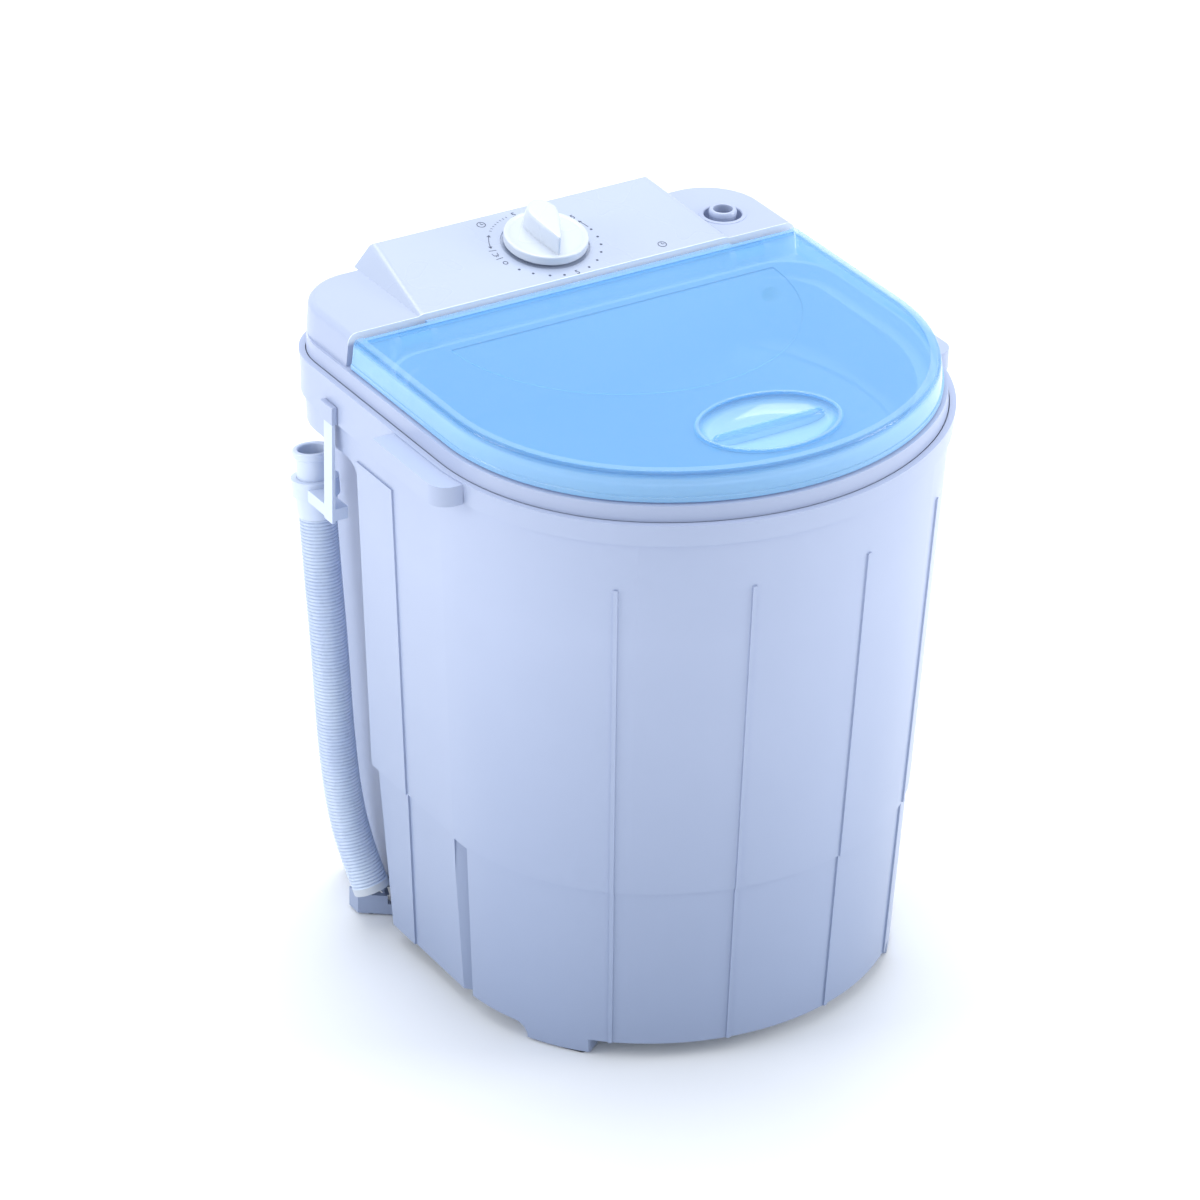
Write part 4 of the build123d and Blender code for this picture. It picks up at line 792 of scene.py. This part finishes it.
def makePanel():
    clearSelection()
    mid = (panel["front"] + panel["rear"]) / 2 + plan["shift"]
    bpy.ops.mesh.primitive_cube_add(size=1, location=(0, mid * mm, (panel["low"] + panel["blank"] / 2) * mm))
    wedge = newPiece("panelCover")
    wedge.scale = (2 * panel["foot"] * mm, (panel["rear"] - panel["front"]) * mm, panel["blank"] * mm)
    settle(wedge)
    top = (panel["low"] + panel["blank"]) * mm
    same = limits["onLine"]
    for y, half, high in ((panel["front"], panel["topFront"], panel["frontHigh"]),
                          (panel["rear"], panel["topRear"], panel["rearHigh"])):
        line = (y + plan["shift"]) * mm
        pick(wedge, "VERT", lambda c: c.z > top - same and abs(c.y - line) < same)
        bpy.ops.transform.resize(value=(half / panel["foot"], 1, 1), center_override=(0, line, top))
        bpy.ops.transform.translate(value=(0, 0, panel["low"] * mm + high * mm - top))
        bpy.ops.object.mode_set(mode="OBJECT")
    front = (panel["front"] + plan["shift"]) * mm
    pick(wedge, "EDGE", lambda a, b: min(a.z, b.z) > panel["footTop"] * mm
         and not (abs(a.y - front) < same and abs(b.y - a.y) < same))
    bpy.ops.mesh.bevel(offset=panel["round"] * mm, segments=6, affect="EDGES")
    bpy.ops.object.mode_set(mode="OBJECT")
    sink = tube("sink", panel["recess"] * mm, -panel["recessDepth"] * mm, panel["cutHigh"] * mm, sides=128)
    place(sink, onPanel())
    cutWith(wedge, sink)
    soften(wedge, panel["bevel"] * mm, 2, 30)
    smooth(wedge, 30)
    return wedge


panelCover = dress(makePanel(), "root", "panel_plastic", finishes["panel_plastic"], "control_panel")
print("panel made")

marks = {"radius": 35.0, "high": 0.09, "lift": 0.02, "line": 0.45, "thin": 0.4, "dot": 0.85,
         "dots": [-58, -43, -26, -11, 20, 36, 52, 66, 80, 94], "numbers": [("5", 4), ("15", 122), ("5", -177)],
         "numberSize": 6.0, "ring": (-75, 1.7, 0.5), "arcs": [(99, 109, 5), (-106, -124, 8)],
         "arcOverlap": 1.08,
         "arrows": [(111, 1), (-105, 1), (-125, -1)], "arrowSize": 1.5, "tick": (0.35, 1.5),
         "ticks": [-135 - 4.57 * i for i in range(8)], "posts": [-84, -99], "postSize": 5.0}
basin = {"at": -91.5, "sideX": 1.6, "sideY": 0.3, "sideLong": 2.6, "lean": 8, "floorY": -1.0, "floorLong": 3.2,
         "dot": 0.35, "dotX": 0.6, "dotY": -1.9}
clock = {"spots": [(-26.5, 179.6), (67.7, 118.6)], "radius": 2.9, "wide": 0.5, "line": 0.45,
         "hour": (0.85, 1.8), "minute": (0.7, 1.5)}


def dialSpot(degrees):
    a = math.radians(degrees)
    return marks["radius"] * math.sin(a), -marks["radius"] * math.cos(a)


def mark(radius, x, y, sides=20):
    return tube("mark", radius * mm, 0, marks["high"] * mm, x * mm, y * mm, sides)


def hoop(x, y, radius, wide, sides=40):
    ring = mark(radius, x, y, sides)
    hole = tube("hoopHole", (radius - wide) * mm, -mm, mm, x * mm, y * mm, sides)
    cutWith(ring, hole)
    return ring


def bar(x, y, long, wide, turn):
    clearSelection()
    bpy.ops.mesh.primitive_cube_add(size=1, location=(x * mm, y * mm, marks["high"] / 2 * mm),
                                    rotation=(0, 0, math.radians(turn)))
    piece = newPiece("bar")
    piece.scale = (long * mm, wide * mm, marks["high"] * mm)
    settle(piece)
    return piece


def number(words, x, y, size):
    clearSelection()
    bpy.ops.object.text_add(location=(0, 0, 0))
    piece = bpy.context.active_object
    piece.data.body, piece.data.size = words, size * mm
    piece.data.align_x, piece.data.align_y = "CENTER", "CENTER"
    piece.data.extrude = marks["high"] / 2 * mm
    bpy.ops.object.convert(target="MESH")
    piece = newPiece("number")
    piece.location = (x * mm, y * mm, marks["high"] / 2 * mm)
    settle(piece)
    return piece


def arcLine(start, end, sides):
    pieces = []
    for i in range(sides):
        angle = start + (end - start) * (i + 0.5) / sides
        long = marks["radius"] * math.radians(abs(end - start)) / sides * marks["arcOverlap"]
        pieces.append(bar(*dialSpot(angle), long, marks["line"], angle))
    return pieces


def arrowHead(degrees, way):
    x, y = dialSpot(degrees)
    clearSelection()
    spot = (x * mm, y * mm, marks["high"] / 2 * mm)
    bpy.ops.mesh.primitive_cylinder_add(vertices=3, radius=marks["arrowSize"] * mm, depth=marks["high"] * mm,
                                        location=spot)
    piece = newPiece("arrow")
    piece.rotation_euler = (0, 0, math.radians(degrees - 90 * way))
    settle(piece)
    return piece


def basinMark():
    x, y = dialSpot(basin["at"])
    pieces = [bar(x, y + basin["floorY"], basin["floorLong"], marks["thin"], 0)]
    for side in (-1, 1):
        wallX, wallY = x + side * basin["sideX"], y + basin["sideY"]
        pieces.append(bar(wallX, wallY, marks["thin"], basin["sideLong"], -side * basin["lean"]))
        pieces.append(mark(basin["dot"], x + side * basin["dotX"], y + basin["dotY"], 12))
    return pieces


def makeDialMarks():
    pieces = [mark(marks["dot"], *dialSpot(a)) for a in marks["dots"]]
    ringAt, ringRadius, ringWide = marks["ring"]
    pieces.append(hoop(*dialSpot(ringAt), ringRadius, ringWide))
    pieces += [number(words, *dialSpot(a), marks["numberSize"]) for words, a in marks["numbers"]]
    for start, end, sides in marks["arcs"]:
        pieces += arcLine(start, end, sides)
    pieces += [arrowHead(a, way) for a, way in marks["arrows"]]
    pieces += [bar(*dialSpot(a), *marks["tick"], a) for a in marks["ticks"]]
    pieces += [bar(*dialSpot(a), marks["thin"], marks["postSize"], a) for a in marks["posts"]]
    return joined(pieces + basinMark(), "dialMarks")


def makeTimerIcons():
    pieces = []
    (hourY, hourLong), (minuteX, minuteLong) = clock["hour"], clock["minute"]
    for x, rowY in clock["spots"]:
        y = (rowY - panel["knobY"]) / math.cos(slope)
        pieces += [hoop(x, y, clock["radius"], clock["wide"]), bar(x, y + hourY, clock["line"], hourLong, 0),
                   bar(x + minuteX, y, minuteLong, clock["line"], 0)]
    return joined(pieces, "timerIcons")


for piece in (makeDialMarks(), makeTimerIcons()):
    place(piece, Matrix.Translation((0, 0, marks["lift"] * mm)))
    place(piece, onPanel())
    dress(piece, "root", "panel_plastic", inkMaterial)
print("dial marks made")


knob = {"radius": 26.5, "low": 1.2, "high": 7.2, "rest": -11.0, "gripReach": 23.2,
        "gripRear": 13.6, "gripTip": 3.4, "gripSunk": 1.5, "gripSwell": (1.25, 1.3),
        "gripSteps": [(2.5, 0.99, 1.0), (4.2, 0.96, 0.985), (4.0, 0.95, 0.98), (1.6, 0.93, 0.985),
                      (0.6, 0.9, 0.975), (0.2, 0.8, 0.95)],
        "rings": [(3.2, 0.0), (0.8, -0.5)], "bevel": 1.1}


def makeDisc():
    disc = tube("knobDisc", knob["radius"] * mm, knob["low"] * mm, knob["high"] * mm, sides=128)
    pick(disc, "FACE", facesUp)
    for thickness, depth in knob["rings"]:
        bpy.ops.mesh.inset(thickness=thickness * mm, depth=depth * mm)
    bpy.ops.object.mode_set(mode="OBJECT")
    soften(disc, knob["bevel"] * mm, 4, 40)
    smooth(disc, 35)
    return disc


def makeGrip():
    clearSelection()
    bpy.ops.mesh.primitive_circle_add(vertices=64, radius=knob["gripReach"] * mm, fill_type="NGON",
                                      location=(0, 0, (knob["high"] - knob["gripSunk"]) * mm))
    grip = newPiece("knobGrip")
    settle(grip)
    reach = knob["gripReach"] * mm
    widen, power = knob["gripSwell"]
    for v in grip.data.vertices:
        share = (v.co.y / reach + 1) / 2
        wide = knob["gripTip"] + (knob["gripRear"] - knob["gripTip"]) * min(1.0, share * widen) ** power
        v.co.x *= wide * mm / reach
    pick(grip, "FACE", lambda c, n: True)
    for rise, wide, long in knob["gripSteps"]:
        bpy.ops.mesh.extrude_region_move(TRANSFORM_OT_translate={"value": (0, 0, rise * mm)})
        bpy.ops.transform.resize(value=(wide, long, 1), center_override=(0, 0, 0))
    bpy.ops.object.mode_set(mode="OBJECT")
    smooth(grip, 40)
    return grip


knobDisc, knobGrip = makeDisc(), makeGrip()
for piece in (knobDisc, knobGrip):
    place(piece, onPanel() @ Matrix.Rotation(math.radians(knob["rest"]), 4, "Z"))
dress(knobDisc, "knob", "knob_plastic", finishes["knob_plastic"], "timer_knob")
dress(knobGrip, "knob", "knob_plastic", finishes["knob_plastic"])
print("knob made")


inlet = {"x": 127.0, "y": 141.0,
         "profile": [(12.0, 404.0), (14.0, 404.0), (14.0, 414.0), (15.0, 414.0), (15.0, 414.3), (14.4, 414.5),
                     (12.6, 414.5), (12.0, 413.9), (12.0, 405.6), (11.4, 405.0), (9.1, 405.0), (8.5, 405.6),
                     (8.5, 414.2), (8.9, 414.6), (8.9, 416.2), (8.4, 417.4), (7.8, 417.9), (6.9, 418.0),
                     (6.3, 417.7), (6.0, 417.0), (6.0, 404.0), (12.0, 404.0)]}
inletCup = turnedPiece("inletCup", [(r * mm, z * mm) for r, z in inlet["profile"]])
place(inletCup, Matrix.Translation((inlet["x"] * mm, (inlet["y"] + plan["shift"]) * mm, 0)))
smooth(inletCup, 35)
dress(inletCup, "root", "body_plastic", finishes["body_plastic"], "inlet_spigot")
print("inlet made")


clip = {"strap": {"bevel": 0.5, "smooth": 35}, "hook": {"bevel": 0.8, "smooth": 35}}
roundedCopy("clipStrap", "hose_clip", "hose_plastic", cuffPlastic, clip["strap"])
roundedCopy("clipHook", "hose_hook", "body_plastic", finishes["body_plastic"], clip["hook"])
print("clip made")
